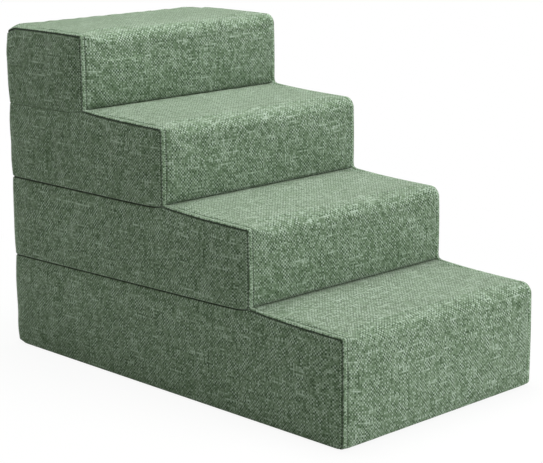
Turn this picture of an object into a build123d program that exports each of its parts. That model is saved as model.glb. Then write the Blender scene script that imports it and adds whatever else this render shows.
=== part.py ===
"""Foam pet stairs with four steps under a sewn cover that zips shut at the back.

The steps rise from +X at the front to the upright back at -X, Y runs across, and z is 0 on the floor.
The origin is the middle of the footprint. Lengths are in millimetres.
"""

from build123d import *
import os
from math import sqrt

os.makedirs("parts", exist_ok=True)

# Stairs
width = 363.0  # across the sides at their fullest
base_rise = 140.0  # floor to the first nose
step_rise = 105.7  # each nose above the one below
tread_depth = 160.0  # the three lower treads
top_depth = 173.0
layer_names = ["first", "second", "third", "top"]

# Cover cloth
cloth = 1.6  # thickness of the upholstery cloth
base_cloth = 1.8  # thickness of the anti-slip cloth underneath
nose_radius = 18.0
tread_lift = 6.0  # how far a tread climbs from its nose to the riser behind
tread_crown = 1.5  # how far a tread stands above a straight line
riser_crown = 2.0
side_crown = 2.5  # how far a side swells between its seams
back_crown = 2.0
front_draw = 50.0  # length over which a side is drawn in to its riser
rear_corner_radius = 13.0
welt_width = 6.0
welt_rise = 1.3
welt_gap = 0.3  # between a tread's welt and the riser's welt behind it

# Foam
foam_gap = 0.3  # between the foam and the cloth over it

# Zip, in the shallow hollow that it draws into the back
hollow_depth = 10.0
hollow_floor_width = 34.0
hollow_ramp = 28.0  # reach of each side slope
hollow_end_ramp = 8.0
hollow_low = 10.0
hollow_below_top = 12.0
zip_room = 4.5  # space for the slider's inner plate
belt_opening = 13.0  # between the folded belt edges
tape_thickness = 0.6
tape_outer = 14.0  # from the zip's middle to the tape's sewn edge
tape_end_margin = 2.0
spine_inner = 1.9  # from the zip's middle to the woven edge of a tooth row
spine_width = 1.0
teeth_thickness = 2.4
tooth_pitch = 3.2
tooth_reach = 0.9  # how far a tooth head passes the middle
head_height = 1.5
head_length = 1.1
neck_height = 1.0
stop_height = 3.0
lower_stop_foot = 16.0  # from the tape's lower end to the lower stops
lower_stop_inner = 1.3
lower_stop_outer = 4.6
lower_stop_thickness = 4.0
upper_stop_foot = 7.0  # from the upper stop's top to the tape's upper end
upper_stop_width = 7.0
upper_stop_thickness = 4.4
teeth_end_gap = 0.2

# Slider and pull
slider_gap = 0.15  # all round the tooth rows
slider_width = 10.0
slider_length = 12.0
plate_thickness = 1.1
flange_width = 1.1
tape_slot = 1.1  # between the two plates' flanges
wedge_width = 2.0
wedge_length = 3.6
stop_gap = 0.02  # between the slider and the lower stops
lug_spread = 3.9  # between the two lugs
lug_thickness = 1.0
lug_length = 4.0
pin_radius = 0.7
pin_height = 1.9  # from the outer plate to the pin's middle
pin_inset = 4.4  # from the slider's lower end to the pin's middle
pin_gap = 0.05
hub_side_gap = 0.1
hub_radius = 1.6
pull_thickness = 1.6
pull_length = 25.0
pull_width = 8.0
pull_slot_width = 3.2
pull_slot_length = 9.0
pull_slot_inset = 3.4  # from the pull's free end to its slot

overrun = 20.0  # how far a cutting solid runs past what it cuts

length = top_depth + (len(layer_names) - 1) * tread_depth + riser_crown + welt_rise
rear = -length / 2
overall_height = base_rise + (len(layer_names) - 1) * step_rise + tread_crown
seam_half = width / 2 - side_crown  # half the width at a seam


def nose_level(k):
    """Height of the nose of layer k. Layer 0 is the underside panel."""
    return base_cloth if k == 0 else base_rise + (k - 1) * step_rise


def lift(k):
    """How far tread k has climbed where it meets the next riser. The top tread is level."""
    return tread_lift if 0 < k < len(layer_names) else 0


def riser_foot(k):
    """Height at which riser k meets the tread below it, or the underside panel."""
    return nose_level(k - 1) + lift(k - 1)


def front_of(k):
    """Place of riser k along X, at its seams. The layer above the top one starts at the rear."""
    if k > len(layer_names):
        return rear
    return rear + top_depth + (len(layer_names) - k) * tread_depth


def tread_end(k):
    """Place along X of the rear edge of tread k."""
    return rear if k == len(layer_names) else front_of(k + 1) - cloth


def across(face, half):
    """A face in the XZ plane, made a solid from -half to half along Y."""
    return extrude(face, amount=half, both=True)


def block(x_low, x_high, y_low, y_high, z_low, z_high):
    """A box between two corners."""
    box = Box(x_high - x_low, y_high - y_low, z_high - z_low)
    return Pos((x_low + x_high) / 2, (y_low + y_high) / 2, (z_low + z_high) / 2) * box


def step_face(k, inset):
    """The area under tread k and behind riser k, that far inside the cloth's outer face.

    It runs on past the foot of the riser and past the rear of the stairs.
    """
    front = front_of(k) - inset
    top = nose_level(k) - inset
    radius = nose_radius - inset
    foot = riser_foot(k)
    floor = foot - overrun
    shoulder = top - radius
    tread_front = front - radius
    tread_rear = tread_end(k)
    rear_top = top + lift(k)
    past_rear = rear - overrun
    turn = radius * (1 - 1 / sqrt(2))
    riser_middle = (front + riser_crown, (foot + shoulder) / 2)
    tread_middle = ((tread_front + tread_rear) / 2, (top + rear_top) / 2 + tread_crown)
    with BuildSketch(Plane.XZ) as sketch:
        with BuildLine():
            Line((front, floor), (front, foot))
            ThreePointArc((front, foot), riser_middle, (front, shoulder))
            ThreePointArc((front, shoulder), (front - turn, top - turn), (tread_front, top))
            ThreePointArc((tread_front, top), tread_middle, (tread_rear, rear_top))
            Line((tread_rear, rear_top), (past_rear, rear_top))
            Line((past_rear, rear_top), (past_rear, floor))
            Line((past_rear, floor), (front, floor))
        make_face()
    return sketch.sketch


def plan_face(k, inset):
    """Layer k seen from above: square at the riser, drawn in a little there, round at the rear."""
    front = front_of(k) + riser_crown
    fullest = front_of(k) - front_draw
    back = rear + inset
    half = width / 2 - inset
    drawn = seam_half - inset
    between = (half + drawn) / 2 + side_crown / 4
    middle = (fullest + front) / 2
    with BuildSketch(Plane.XY) as sketch:
        with BuildLine():
            Line((back, -half), (fullest, -half))
            ThreePointArc((fullest, -half), (middle, -between), (front, -drawn))
            Line((front, -drawn), (front, drawn))
            ThreePointArc((front, drawn), (middle, between), (fullest, half))
            Line((fullest, half), (back, half))
            Line((back, half), (back, -half))
        make_face()
        rear_corners = sketch.vertices().group_by(Axis.X)[0]
        fillet(rear_corners, radius=rear_corner_radius - inset)
    return sketch.sketch


def swell_face(low, high, half, drop):
    """An upright section, drop narrower on each side at the seams low and high than between them."""
    seam = half - drop
    middle = (low + high) / 2
    floor = low - overrun
    with BuildSketch(Plane.YZ) as sketch:
        with BuildLine():
            Line((-seam, floor), (-seam, low))
            ThreePointArc((-seam, low), (-half, middle), (-seam, high))
            Line((-seam, high), (seam, high))
            ThreePointArc((seam, high), (half, middle), (seam, low))
            Line((seam, low), (seam, floor))
            Line((seam, floor), (-seam, floor))
        make_face()
    return sketch.sketch


def back_face(low, high, inset):
    """The same swell on the back alone, as a section in the XZ plane."""
    full = rear + inset
    seam = full + back_crown
    front = front_of(1) + overrun
    floor = low - overrun
    with BuildSketch(Plane.XZ) as sketch:
        with BuildLine():
            Line((seam, floor), (seam, low))
            ThreePointArc((seam, low), (full, (low + high) / 2), (seam, high))
            Line((seam, high), (front, high))
            Line((front, high), (front, floor))
            Line((front, floor), (seam, floor))
        make_face()
    return sketch.sketch


def hollow(grow):
    """The shallow hollow at the zip, that much larger all round."""
    low = hollow_low - grow
    high = overall_height - hollow_below_top + grow
    mouth_half = hollow_floor_width / 2 + hollow_ramp + grow
    floor_half = hollow_floor_width / 2 + grow
    depth = hollow_depth + grow
    middle = (low + high) / 2
    mouth = Plane(origin=(rear, 0, middle), x_dir=(0, 1, 0), z_dir=(1, 0, 0))
    mouth_area = mouth * Rectangle(2 * mouth_half, high - low)
    floor_area = mouth.offset(depth) * Rectangle(2 * floor_half, high - low - 2 * hollow_end_ramp)
    return loft([mouth_area.face(), floor_area.face()], ruled=True)


def layer_solid(k, inset, base):
    """Layer k of the stairs as one swelled block, that far inside the cloth's outer face."""
    low = nose_level(k - 1)
    high = nose_level(k) + lift(k)
    if k == len(layer_names):
        high += tread_crown
    plan = Pos(0, 0, base) * extrude(plan_face(k, inset), amount=high - base)
    sides = extrude(swell_face(low, high, width / 2 - inset, side_crown), amount=length, both=True)
    back = across(back_face(low, high, inset), width)
    return plan & sides & back


def foam_slab(k):
    """One foam slab. It lies face to face on the slab, or the cloth, under it."""
    inset = cloth + foam_gap
    base = base_cloth if k == 1 else nose_level(k - 1) - inset
    slab = layer_solid(k, inset, base) & across(step_face(k, inset), width)
    if k < len(layer_names):
        top = nose_level(k) - inset
        slab -= block(rear - overrun, front_of(1), -width, width, top, overall_height)
    return slab - hollow(cloth + zip_room)


def step_strip(k, rise, back, half):
    """The cloth of tread and riser k, standing proud by rise, from -half to half along Y."""
    outside = across(step_face(k, -rise), half)
    inside = across(step_face(k, cloth), half + overrun)
    room = block(back, front_of(1) + overrun, -width, width, riser_foot(k), overall_height + overrun)
    return (outside - inside) & room


def step_panel(k):
    """Tread and riser k in one cloth, with a raised welt along both side edges."""
    panel = step_strip(k, 0, tread_end(k), seam_half)
    welt_back = rear if k == len(layer_names) else front_of(k + 1) + welt_rise + welt_gap
    inner = seam_half - welt_width
    between = block(rear - overrun, front_of(1) + overrun, -inner, inner, 0, overall_height + overrun)
    panel += step_strip(k, welt_rise, welt_back, seam_half) - between
    if k == len(layer_names):
        rounded = extrude(plan_face(k, 0), amount=overall_height + overrun)
        rounded += block(front_of(k) - nose_radius, front_of(k) + overrun, -width, width,
                         0, overall_height + overrun)
        panel &= rounded
        panel &= block(rear + back_crown, front_of(k) + overrun, -width, width,
                       0, overall_height + overrun)
    return panel


def cover_shell(k):
    """The cloth on both sides and the back of layer k, under its tread and behind its riser."""
    base = nose_level(k - 1)
    shell = layer_solid(k, 0, base) - layer_solid(k, cloth, base - overrun)
    shell -= hollow(0)
    lining = hollow(cloth) - hollow(0)
    lining &= layer_solid(k, 0, base)
    shell += lining
    shell &= across(step_face(k, cloth), width)
    if k < len(layer_names):
        shell -= block(rear - overrun, tread_end(k), -width, width, nose_level(k), overall_height)
    return shell


def band(side, inner, outer):
    """The lowest and highest Y of a band between two distances from the middle. Side is -1 or 1."""
    return sorted((side * inner, side * outer))


def side_belt(shell, side):
    """One side's part of a layer's shell, from the riser round to the zip."""
    half = block(rear - overrun, front_of(1) + overrun, *band(side, belt_opening / 2, width),
                 0, overall_height + overrun)
    return shell & half


def base_panel():
    """The flat anti-slip cloth that the stairs stand on."""
    with BuildSketch(Plane.XY) as sketch:
        reach = front_of(1) - rear - back_crown
        with Locations(((front_of(1) + rear + back_crown) / 2, 0)):
            Rectangle(reach, 2 * seam_half)
        fillet(sketch.vertices().group_by(Axis.X)[0], radius=rear_corner_radius)
    return extrude(sketch.sketch, amount=base_cloth)


# Places along the zip
tape_plane = rear + hollow_depth + cloth + tape_thickness / 2
tape_low = hollow_low + hollow_end_ramp + tape_end_margin
tape_high = overall_height - hollow_below_top - hollow_end_ramp - tape_end_margin
lower_stop_top = tape_low + lower_stop_foot + stop_height
slider_low = lower_stop_top + stop_gap
slider_high = slider_low + slider_length
upper_stop_top = tape_high - upper_stop_foot
upper_stop_low = upper_stop_top - stop_height
teeth_low = slider_low + wedge_length + teeth_end_gap
teeth_high = upper_stop_low - teeth_end_gap
plate_inner = teeth_thickness / 2 + slider_gap
plate_outer = plate_inner + plate_thickness
pin_out = plate_outer + pin_height
pin_level = slider_low + pin_inset


def outward(low, high, y_low, y_high, z_low, z_high):
    """A box from low to high outward of the zip's middle plane, which is towards -X."""
    return block(tape_plane - high, tape_plane - low, y_low, y_high, z_low, z_high)


def zip_tape(side):
    """One woven tape, flat behind the belt edges."""
    half = tape_thickness / 2
    woven = band(side, spine_inner + spine_width, tape_outer)
    return outward(-half, half, *woven, tape_low, tape_high)


def tooth_row(side):
    """One row of moulded teeth on the woven edge of its tape, as a comb of one thickness."""
    root = side * (spine_inner + spine_width)
    face = side * spine_inner
    neck_end = side * (head_length - tooth_reach)
    tip = -side * tooth_reach
    first = teeth_low + head_height / 2
    if side > 0:
        first += tooth_pitch / 2
    count = int((teeth_high - head_height / 2 - first) / tooth_pitch) + 1
    points = [(root, tape_low), (face, tape_low)]
    for tooth in range(count):
        middle = first + tooth * tooth_pitch
        points += [
            (face, middle - neck_height / 2),
            (neck_end, middle - neck_height / 2),
            (neck_end, middle - head_height / 2),
            (tip, middle - head_height / 2),
            (tip, middle + head_height / 2),
            (neck_end, middle + head_height / 2),
            (neck_end, middle + neck_height / 2),
            (face, middle + neck_height / 2),
        ]
    points += [(face, tape_high), (root, tape_high)]
    with BuildSketch(Plane.YZ) as sketch:
        with BuildLine():
            Polyline(points, close=True)
        make_face()
    return Pos(tape_plane, 0, 0) * extrude(sketch.sketch, amount=teeth_thickness / 2, both=True)


def lower_stops():
    """Two stops clamped on the tape edges, on which the slider rests."""
    half = lower_stop_thickness / 2
    stops = []
    for side in (-1, 1):
        clamp = band(side, lower_stop_inner, lower_stop_outer)
        whole = outward(-half, half, *clamp, lower_stop_top - stop_height, lower_stop_top)
        stops.append(whole - zip_tape(side) - tooth_row(side))
    return Compound(stops)


def upper_stop():
    """The bridge that ties both tapes together at the zip's upper end."""
    half = upper_stop_thickness / 2
    side = upper_stop_width / 2
    bridge = outward(-half, half, -side, side, upper_stop_low, upper_stop_top)
    for hand in (-1, 1):
        bridge -= zip_tape(hand)
        bridge -= tooth_row(hand)
    return bridge


def zip_slider():
    """Two plates round the tooth rows, joined by a wedge, with two lugs and the pull's pin."""
    half = slider_width / 2
    lug_low = pin_level - lug_length / 2
    lug_top = pin_out + 2 * pin_radius
    slider = outward(plate_inner, plate_outer, -half, half, slider_low, slider_high)
    slider += outward(-plate_outer, -plate_inner, -half, half, slider_low, slider_high)
    for side in (-1, 1):
        flange = band(side, half - flange_width, half)
        lug = band(side, lug_spread / 2, lug_spread / 2 + lug_thickness)
        slider += outward(tape_slot / 2, plate_inner, *flange, slider_low, slider_high)
        slider += outward(-plate_inner, -tape_slot / 2, *flange, slider_low, slider_high)
        slider += outward(plate_outer, lug_top, *lug, lug_low, lug_low + lug_length)
    wedge_half = wedge_width / 2
    slider += outward(-plate_inner, plate_inner, -wedge_half, wedge_half,
                      slider_low, slider_low + wedge_length)
    pin_line = Plane(origin=(tape_plane - pin_out, 0, pin_level), z_dir=(0, 1, 0))
    pin_half = lug_spread / 2 + lug_thickness
    slider += extrude(pin_line * Circle(pin_radius), amount=pin_half, both=True)
    return slider


def zip_pull():
    """The tab that hangs on the slider's pin, with a finger slot near its free end."""
    hub_half = lug_spread / 2 - hub_side_gap
    pin_line = Plane(origin=(tape_plane - pin_out, 0, pin_level), z_dir=(0, 1, 0))
    hub = extrude(pin_line * Circle(hub_radius), amount=hub_half, both=True)
    tip = pin_level - pull_length
    neck = pin_level - hub_radius - lug_length / 2 - pull_thickness
    with BuildSketch(Plane.YZ) as sketch:
        with BuildLine():
            Polyline(
                (-hub_half, pin_level),
                (-hub_half, neck),
                (-pull_width / 2, neck - pull_width / 2),
                (-pull_width / 2, tip),
                (pull_width / 2, tip),
                (pull_width / 2, neck - pull_width / 2),
                (hub_half, neck),
                (hub_half, pin_level),
                close=True,
            )
        make_face()
        fillet(sketch.vertices().group_by(Axis.Y)[0], radius=pull_slot_width / 2)
        slot_middle = tip + pull_slot_inset + pull_slot_length / 2
        with Locations((0, slot_middle)):
            SlotOverall(pull_slot_length, pull_slot_width, rotation=90, mode=Mode.SUBTRACT)
    tab = extrude(sketch.sketch, amount=pull_thickness / 2, both=True)
    tab = Pos(tape_plane - pin_out, 0, 0) * tab
    bore = extrude(pin_line * Circle(pin_radius + pin_gap), amount=pull_width, both=True)
    return hub + tab - bore


def save(shape, name):
    """Writes one piece."""
    shape.label = name
    export_step(shape, f"parts/{name}.step")


for place, name in enumerate(layer_names):
    layer = place + 1
    save(foam_slab(layer), f"{'base' if layer == 1 else name}_foam_slab")
    save(step_panel(layer), f"{name}_step_panel")
    cover = cover_shell(layer)
    save(side_belt(cover, -1), f"left_{name}_belt")
    save(side_belt(cover, 1), f"right_{name}_belt")
save(base_panel(), "base_panel")
for hand, hand_name in ((-1, "left"), (1, "right")):
    save(zip_tape(hand), f"zip_tape_{hand_name}")
    save(tooth_row(hand), f"zip_teeth_{hand_name}")
save(lower_stops(), "zip_lower_stops")
save(upper_stop(), "zip_upper_stop")
save(zip_slider(), "zip_slider")
save(zip_pull(), "zip_pull")
print("slider travel", upper_stop_low - slider_high)
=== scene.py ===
"""Foam pet stairs with four steps, under a sewn cover of coarse sage cloth that zips shut at the back.

The steps rise from +X at the front to the upright back at -X, and Y runs across. Lengths are in metres.
"""

import logging
import math
from collections.abc import Callable, Sequence
from dataclasses import dataclass
from enum import Enum

import bmesh
import bpy
import numpy as np
from mathutils import Matrix, Vector


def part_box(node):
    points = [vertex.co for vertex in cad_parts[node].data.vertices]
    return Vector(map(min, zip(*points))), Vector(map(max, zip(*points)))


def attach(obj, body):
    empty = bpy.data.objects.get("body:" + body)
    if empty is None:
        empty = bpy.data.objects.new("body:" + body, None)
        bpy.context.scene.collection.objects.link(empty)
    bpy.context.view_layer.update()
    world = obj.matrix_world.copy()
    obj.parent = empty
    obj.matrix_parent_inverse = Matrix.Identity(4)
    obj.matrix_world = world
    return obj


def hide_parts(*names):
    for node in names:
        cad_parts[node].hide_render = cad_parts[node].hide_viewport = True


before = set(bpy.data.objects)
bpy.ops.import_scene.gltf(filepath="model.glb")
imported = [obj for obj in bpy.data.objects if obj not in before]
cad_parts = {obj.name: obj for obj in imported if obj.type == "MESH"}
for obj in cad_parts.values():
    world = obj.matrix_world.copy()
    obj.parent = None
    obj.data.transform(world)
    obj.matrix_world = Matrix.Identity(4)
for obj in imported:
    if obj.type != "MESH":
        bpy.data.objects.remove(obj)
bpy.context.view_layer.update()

MM = 0.001
LAYER_NAMES = ("first", "second", "third", "top")
CHART = "Cloth"  # the UV map that says where a point lies on the flat cloth, in metres
PAINTED_SHADE = "Crease"  # the attribute of painted shade, from -1 for a painted highlight on the welt's crest to 1 for the painted shade at the bottom of a seam
NOISE_RANGE = (0.3, 0.7)  # where almost all of a noise's values lie
STITCH_STEP = 0.5 * MM  # between the points that a row of stitches follows

log = logging.getLogger("pet_stairs")


class Side(Enum):
    """The two sides of the stairs, with the direction of each along Y."""

    LEFT = -1
    RIGHT = 1


class SeamDepth(Enum):
    """How deep the seam between two layers of belts is drawn in, as a share of the deepest."""

    FAINT = 0.2
    PLAIN = 0.8
    DEEP = 1.0


# Numbers that vary smoothly


def ease(low: float, high: float, value: np.ndarray) -> np.ndarray:
    """Rises smoothly from 0 at low to 1 at high.

    Args:
        low: Where the rise starts.
        high: Where it ends.
        value: The places to read it at.

    Returns:
        The share reached at each place.
    """
    share = np.clip((value - low) / (high - low), 0.0, 1.0)
    return share * share * (3.0 - 2.0 * share)


def arch(share: np.ndarray, flatness: float = 2.0) -> np.ndarray:
    """A pillow's height from edge to edge: 0 at shares 0 and 1, and 1 between them.

    Args:
        share: How far across each place is, from 0 to 1.
        flatness: 2 is a parabola, and more is flatter on top and steeper at the edges.

    Returns:
        The height at each place.
    """
    return 1.0 - np.abs(2.0 * np.clip(share, 0.0, 1.0) - 1.0) ** flatness


def fade(distance: np.ndarray, reach: float) -> np.ndarray:
    """Falls from 1 at no distance to 0 at the reach, more and more gently."""
    return np.clip(1 - distance / reach, 0, 1) ** 2


def bell(distance: np.ndarray, width: float) -> np.ndarray:
    """A bell curve, which is 1 at no distance and almost 0 at twice the width."""
    return np.exp(-(distance / width) ** 2)


@dataclass(frozen=True)
class Ripples:
    """The slight unevenness of cloth that is pulled over foam, as a few crossing waves."""

    height: float
    shortest: float
    longest: float
    seed: int
    waves: int = 9

    def at(self, along: np.ndarray, over: np.ndarray) -> np.ndarray:
        """Height of the ripples.

        Args:
            along: Places along the cloth.
            over: Places across it.

        Returns:
            The height at each place.
        """
        draw = np.random.default_rng(self.seed)
        total = np.zeros(np.broadcast(along, over).shape)
        for _ in range(self.waves):
            wavelength = draw.uniform(self.shortest, self.longest)
            heading = draw.uniform(0.0, math.pi)
            start = draw.uniform(0.0, 2 * math.pi)
            travel = along * math.cos(heading) + over * math.sin(heading)
            total = total + np.sin(2 * math.pi * travel / wavelength + start)
        return self.height * total / math.sqrt(self.waves)


@dataclass(frozen=True)
class SeamSection:
    """A cloth edge cut through at its seam.

    inward is how far each point lies from the seam along the surface, and proud how far above the surface.
    """

    inward: tuple[float, ...]
    proud: tuple[float, ...]

    @property
    def runs(self) -> np.ndarray:
        """How much cloth there is from the edge to each point."""
        steps = np.hypot(np.diff(self.inward), np.diff(self.proud))
        return np.concatenate([[0.0], np.cumsum(steps)])

    def lay(self, run: np.ndarray) -> tuple[np.ndarray, np.ndarray]:
        """Where the cloth lies.

        Args:
            run: How far along the cloth from its edge.

        Returns:
            The distance from the seam along the surface, and the height above the surface.
        """
        runs = self.runs
        past = np.maximum(run - runs[-1], 0.0)
        return np.interp(run, runs, self.inward) + past, np.interp(run, runs, self.proud)

    def reach(self, distance: float) -> float:
        """How much cloth there is from the edge to the last point at a distance from the seam."""
        last = int(np.argmin(self.inward))
        return float(np.interp(distance, self.inward[last:], self.runs[last:]))

    def height(self, distance: np.ndarray) -> np.ndarray:
        """Height above the surface, by the distance from the seam along the surface."""
        return np.interp(distance, self.inward, self.proud)


def in_mm(*pairs: tuple[float, float]) -> SeamSection:
    """A seam section from its points, written in millimetres."""
    inward, proud = zip(*pairs)
    return SeamSection(tuple(x * MM for x in inward), tuple(x * MM for x in proud))


# The welt along a step panel: out of the seam, over the cord of folded cloth and down to the topstitching.
WELT = in_mm((4.5, -2.9), (2.4, -2.8), (1.3, -2.65), (0.6, -2.4), (0.15, -1.9), (0.0, -1.1), (0.15, -0.4),
             (0.6, 0.1), (1.4, 0.4), (2.6, 0.55), (4.0, 0.5), (5.2, 0.3), (6.0, 0.0), (6.8, -0.25),
             (7.7, -0.1), (9.2, 0.12), (11.5, 0.08), (14.0, 0.0))
# A belt's edge beside a welt, with its own row of stitches.
BELT_EDGE = in_mm((0.0, -3.0), (0.1, -1.6), (0.35, -0.8), (0.8, -0.3), (1.5, 0.0), (2.3, -0.05),
                  (2.8, -0.2), (3.3, -0.05), (5.0, 0.1), (9.0, 0.0))
# A belt's edge in the seam between two layers.
LAYER_SEAM = in_mm((0.0, -4.5), (0.15, -3.6), (0.5, -2.5), (0.9, -1.2), (1.5, -0.35), (2.4, 0.0),
                   (4.5, 0.05), (7.0, 0.0), (10.0, 0.0))
# The rolled lower edge, which turns in to the underside.
HEM = in_mm((0.0, -4.5), (0.1, -3.2), (0.5, -1.9), (1.3, -0.9), (2.6, -0.2), (4.2, 0.0), (6.5, 0.0),
            (10.0, 0.0))
# The folded edge beside the zip, with its row of stitches.
ZIP_EDGE = in_mm((0.0, -1.5), (0.1, -0.6), (0.6, -0.05), (1.5, 0.1), (2.6, 0.0), (3.4, -0.35),
                 (4.2, -0.05), (6.0, 0.0), (9.0, 0.0))


def shade_by_depth(height: np.ndarray) -> np.ndarray:
    """How much painted shade a point takes in a seam or fold, from 0 to 1, by its height above the cloth's
    plain surface.
    """
    return ease(1.0 * MM, 2.4 * MM, -height)


def stations(start: Sequence[float], end: Sequence[float], total: float, pitch: float) -> np.ndarray:
    """Places across a cloth: those of the two edges' sections, with even ones between.

    Args:
        start: Distances from the first edge.
        end: Distances from the second edge.
        total: The width from edge to edge.
        pitch: About how far apart the even ones are.

    Returns:
        The places, from the first edge to the second.
    """
    low, high = max(start), total - max(end)
    count = max(2, round((high - low) / pitch) + 1)
    even = np.linspace(low, high, count)[1:-1]
    return np.concatenate([np.sort(start), even, np.sort([total - x for x in end])])


def round_corner(one: np.ndarray, other: np.ndarray, radius: float) -> tuple[np.ndarray, ...]:
    """Rounds off the corner where two edges meet.

    Args:
        one: Distances from the first edge.
        other: Distances from the second edge.
        radius: The corner's radius.

    Returns:
        Both distances after rounding, and the distance from the rounded edge.
    """
    first, second = 1.0 - one / radius, 1.0 - other / radius
    reach = np.maximum(first, second)
    inside = (first > 0) & (second > 0)
    safe = np.where(reach > 0, reach, 1.0)
    steep = second > first
    turn = math.pi / 4 * np.where(steep, first, second) / safe
    turn = np.where(steep, math.pi / 2 - turn, turn)
    moved_one = np.where(inside, radius - radius * reach * np.cos(turn), one)
    moved_other = np.where(inside, radius - radius * reach * np.sin(turn), other)
    return moved_one, moved_other, np.where(inside, radius * (1.0 - reach), np.minimum(one, other))


@dataclass(frozen=True)
class Lie:
    """How a cloth lies at many points: where, which way is outward, and how much painted shade it takes.

    The painted shade runs from -1 for a painted highlight on the welt's crest to 1 at the bottom of a seam.
    """

    points: np.ndarray
    outward: np.ndarray
    crease: np.ndarray


# Meshes


def finish_mesh(bm: bmesh.types.BMesh, name: str, material: bpy.types.Material) -> bpy.types.Object:
    """Makes an object at the origin from a mesh, shaded smooth.

    Args:
        bm: The mesh, which is freed.
        name: The piece's name.
        material: Its finish.

    Returns:
        The new object.
    """
    for face in bm.faces:
        face.smooth = True
    mesh = bpy.data.meshes.new(name)
    bm.to_mesh(mesh)
    bm.free()
    mesh.materials.append(material)
    piece = bpy.data.objects.new(name, mesh)
    bpy.context.scene.collection.objects.link(piece)
    return piece


def cloth_grid(points: np.ndarray, toward: Vector, chart: np.ndarray | None = None,
               crease: np.ndarray | None = None) -> bmesh.types.BMesh:
    """A sheet of cloth through a grid of points.

    Args:
        points: Rows and columns of places.
        toward: A direction that the cloth's outer face looks in, on the whole.
        chart: Where each point lies on the flat cloth.
        crease: The painted shade at each point, from -1 for a painted highlight to 1 for the darkest.

    Returns:
        The sheet, with its outer face outward and its chart as a UV map.
    """
    rows, columns = points.shape[:2]
    bm = bmesh.new()
    # The layer of painted shade, from -1 for a painted highlight to 1, that the cloth's material reads.
    depth = bm.verts.layers.float.new(PAINTED_SHADE)
    bmesh.ops.create_grid(bm, x_segments=columns - 1, y_segments=rows - 1, size=0.5)
    place = {}
    for vertex in bm.verts:
        row = round((vertex.co.y + 0.5) * (rows - 1))
        column = round((vertex.co.x + 0.5) * (columns - 1))
        place[vertex] = (row, column)
        vertex.co = points[row, column]
        if crease is not None:
            vertex[depth] = crease[row, column]
    bm.normal_update()
    facing = sum((face.normal * face.calc_area() for face in bm.faces), Vector())
    if facing.dot(toward) < 0:
        bmesh.ops.reverse_faces(bm, faces=bm.faces[:])
    if chart is not None:
        layer = bm.loops.layers.uv.new(CHART)
        for face in bm.faces:
            for loop in face.loops:
                loop[layer].uv = chart[place[loop.vert]]
    return bm


def add_wall(piece: bpy.types.Object, thickness: float) -> None:
    """Gives a sheet its thickness, inward from its outer face."""
    wall = piece.modifiers.new("Thickness", "SOLIDIFY")
    wall.thickness = thickness
    wall.offset = -1.0
    wall.use_rim = True


def dress(piece: bpy.types.Object, replaced: Sequence[str] = ()) -> bpy.types.Object:
    """Puts a piece on the stairs, in place of its solids."""
    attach(piece, "root")
    if replaced:
        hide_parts(*replaced)
    log.info("%s: %d faces", piece.name, len(piece.data.polygons))
    return piece


def grid_reader(rows: np.ndarray, columns: np.ndarray, values: np.ndarray) -> Callable:
    """Reads a grid of values between its points, with 0 outside it.

    Args:
        rows: Places of the rows.
        columns: Places of the columns.
        values: The values, row by row.

    Returns:
        A function of the places along the columns' and the rows' directions.
    """
    def read(over: np.ndarray, run: np.ndarray) -> np.ndarray:
        """The values at these places."""
        row = np.interp(run, rows, np.arange(len(rows)))
        column = np.interp(over, columns, np.arange(len(columns)))
        low_row = np.minimum(row.astype(int), len(rows) - 2)
        low_column = np.minimum(column.astype(int), len(columns) - 2)
        down, right = ease(0, 1, row - low_row), ease(0, 1, column - low_column)
        upper = values[low_row, low_column] * (1 - right) + values[low_row, low_column + 1] * right
        lower = (values[low_row + 1, low_column] * (1 - right)
                 + values[low_row + 1, low_column + 1] * right)
        return upper * (1 - down) + lower * down
    return read


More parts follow.
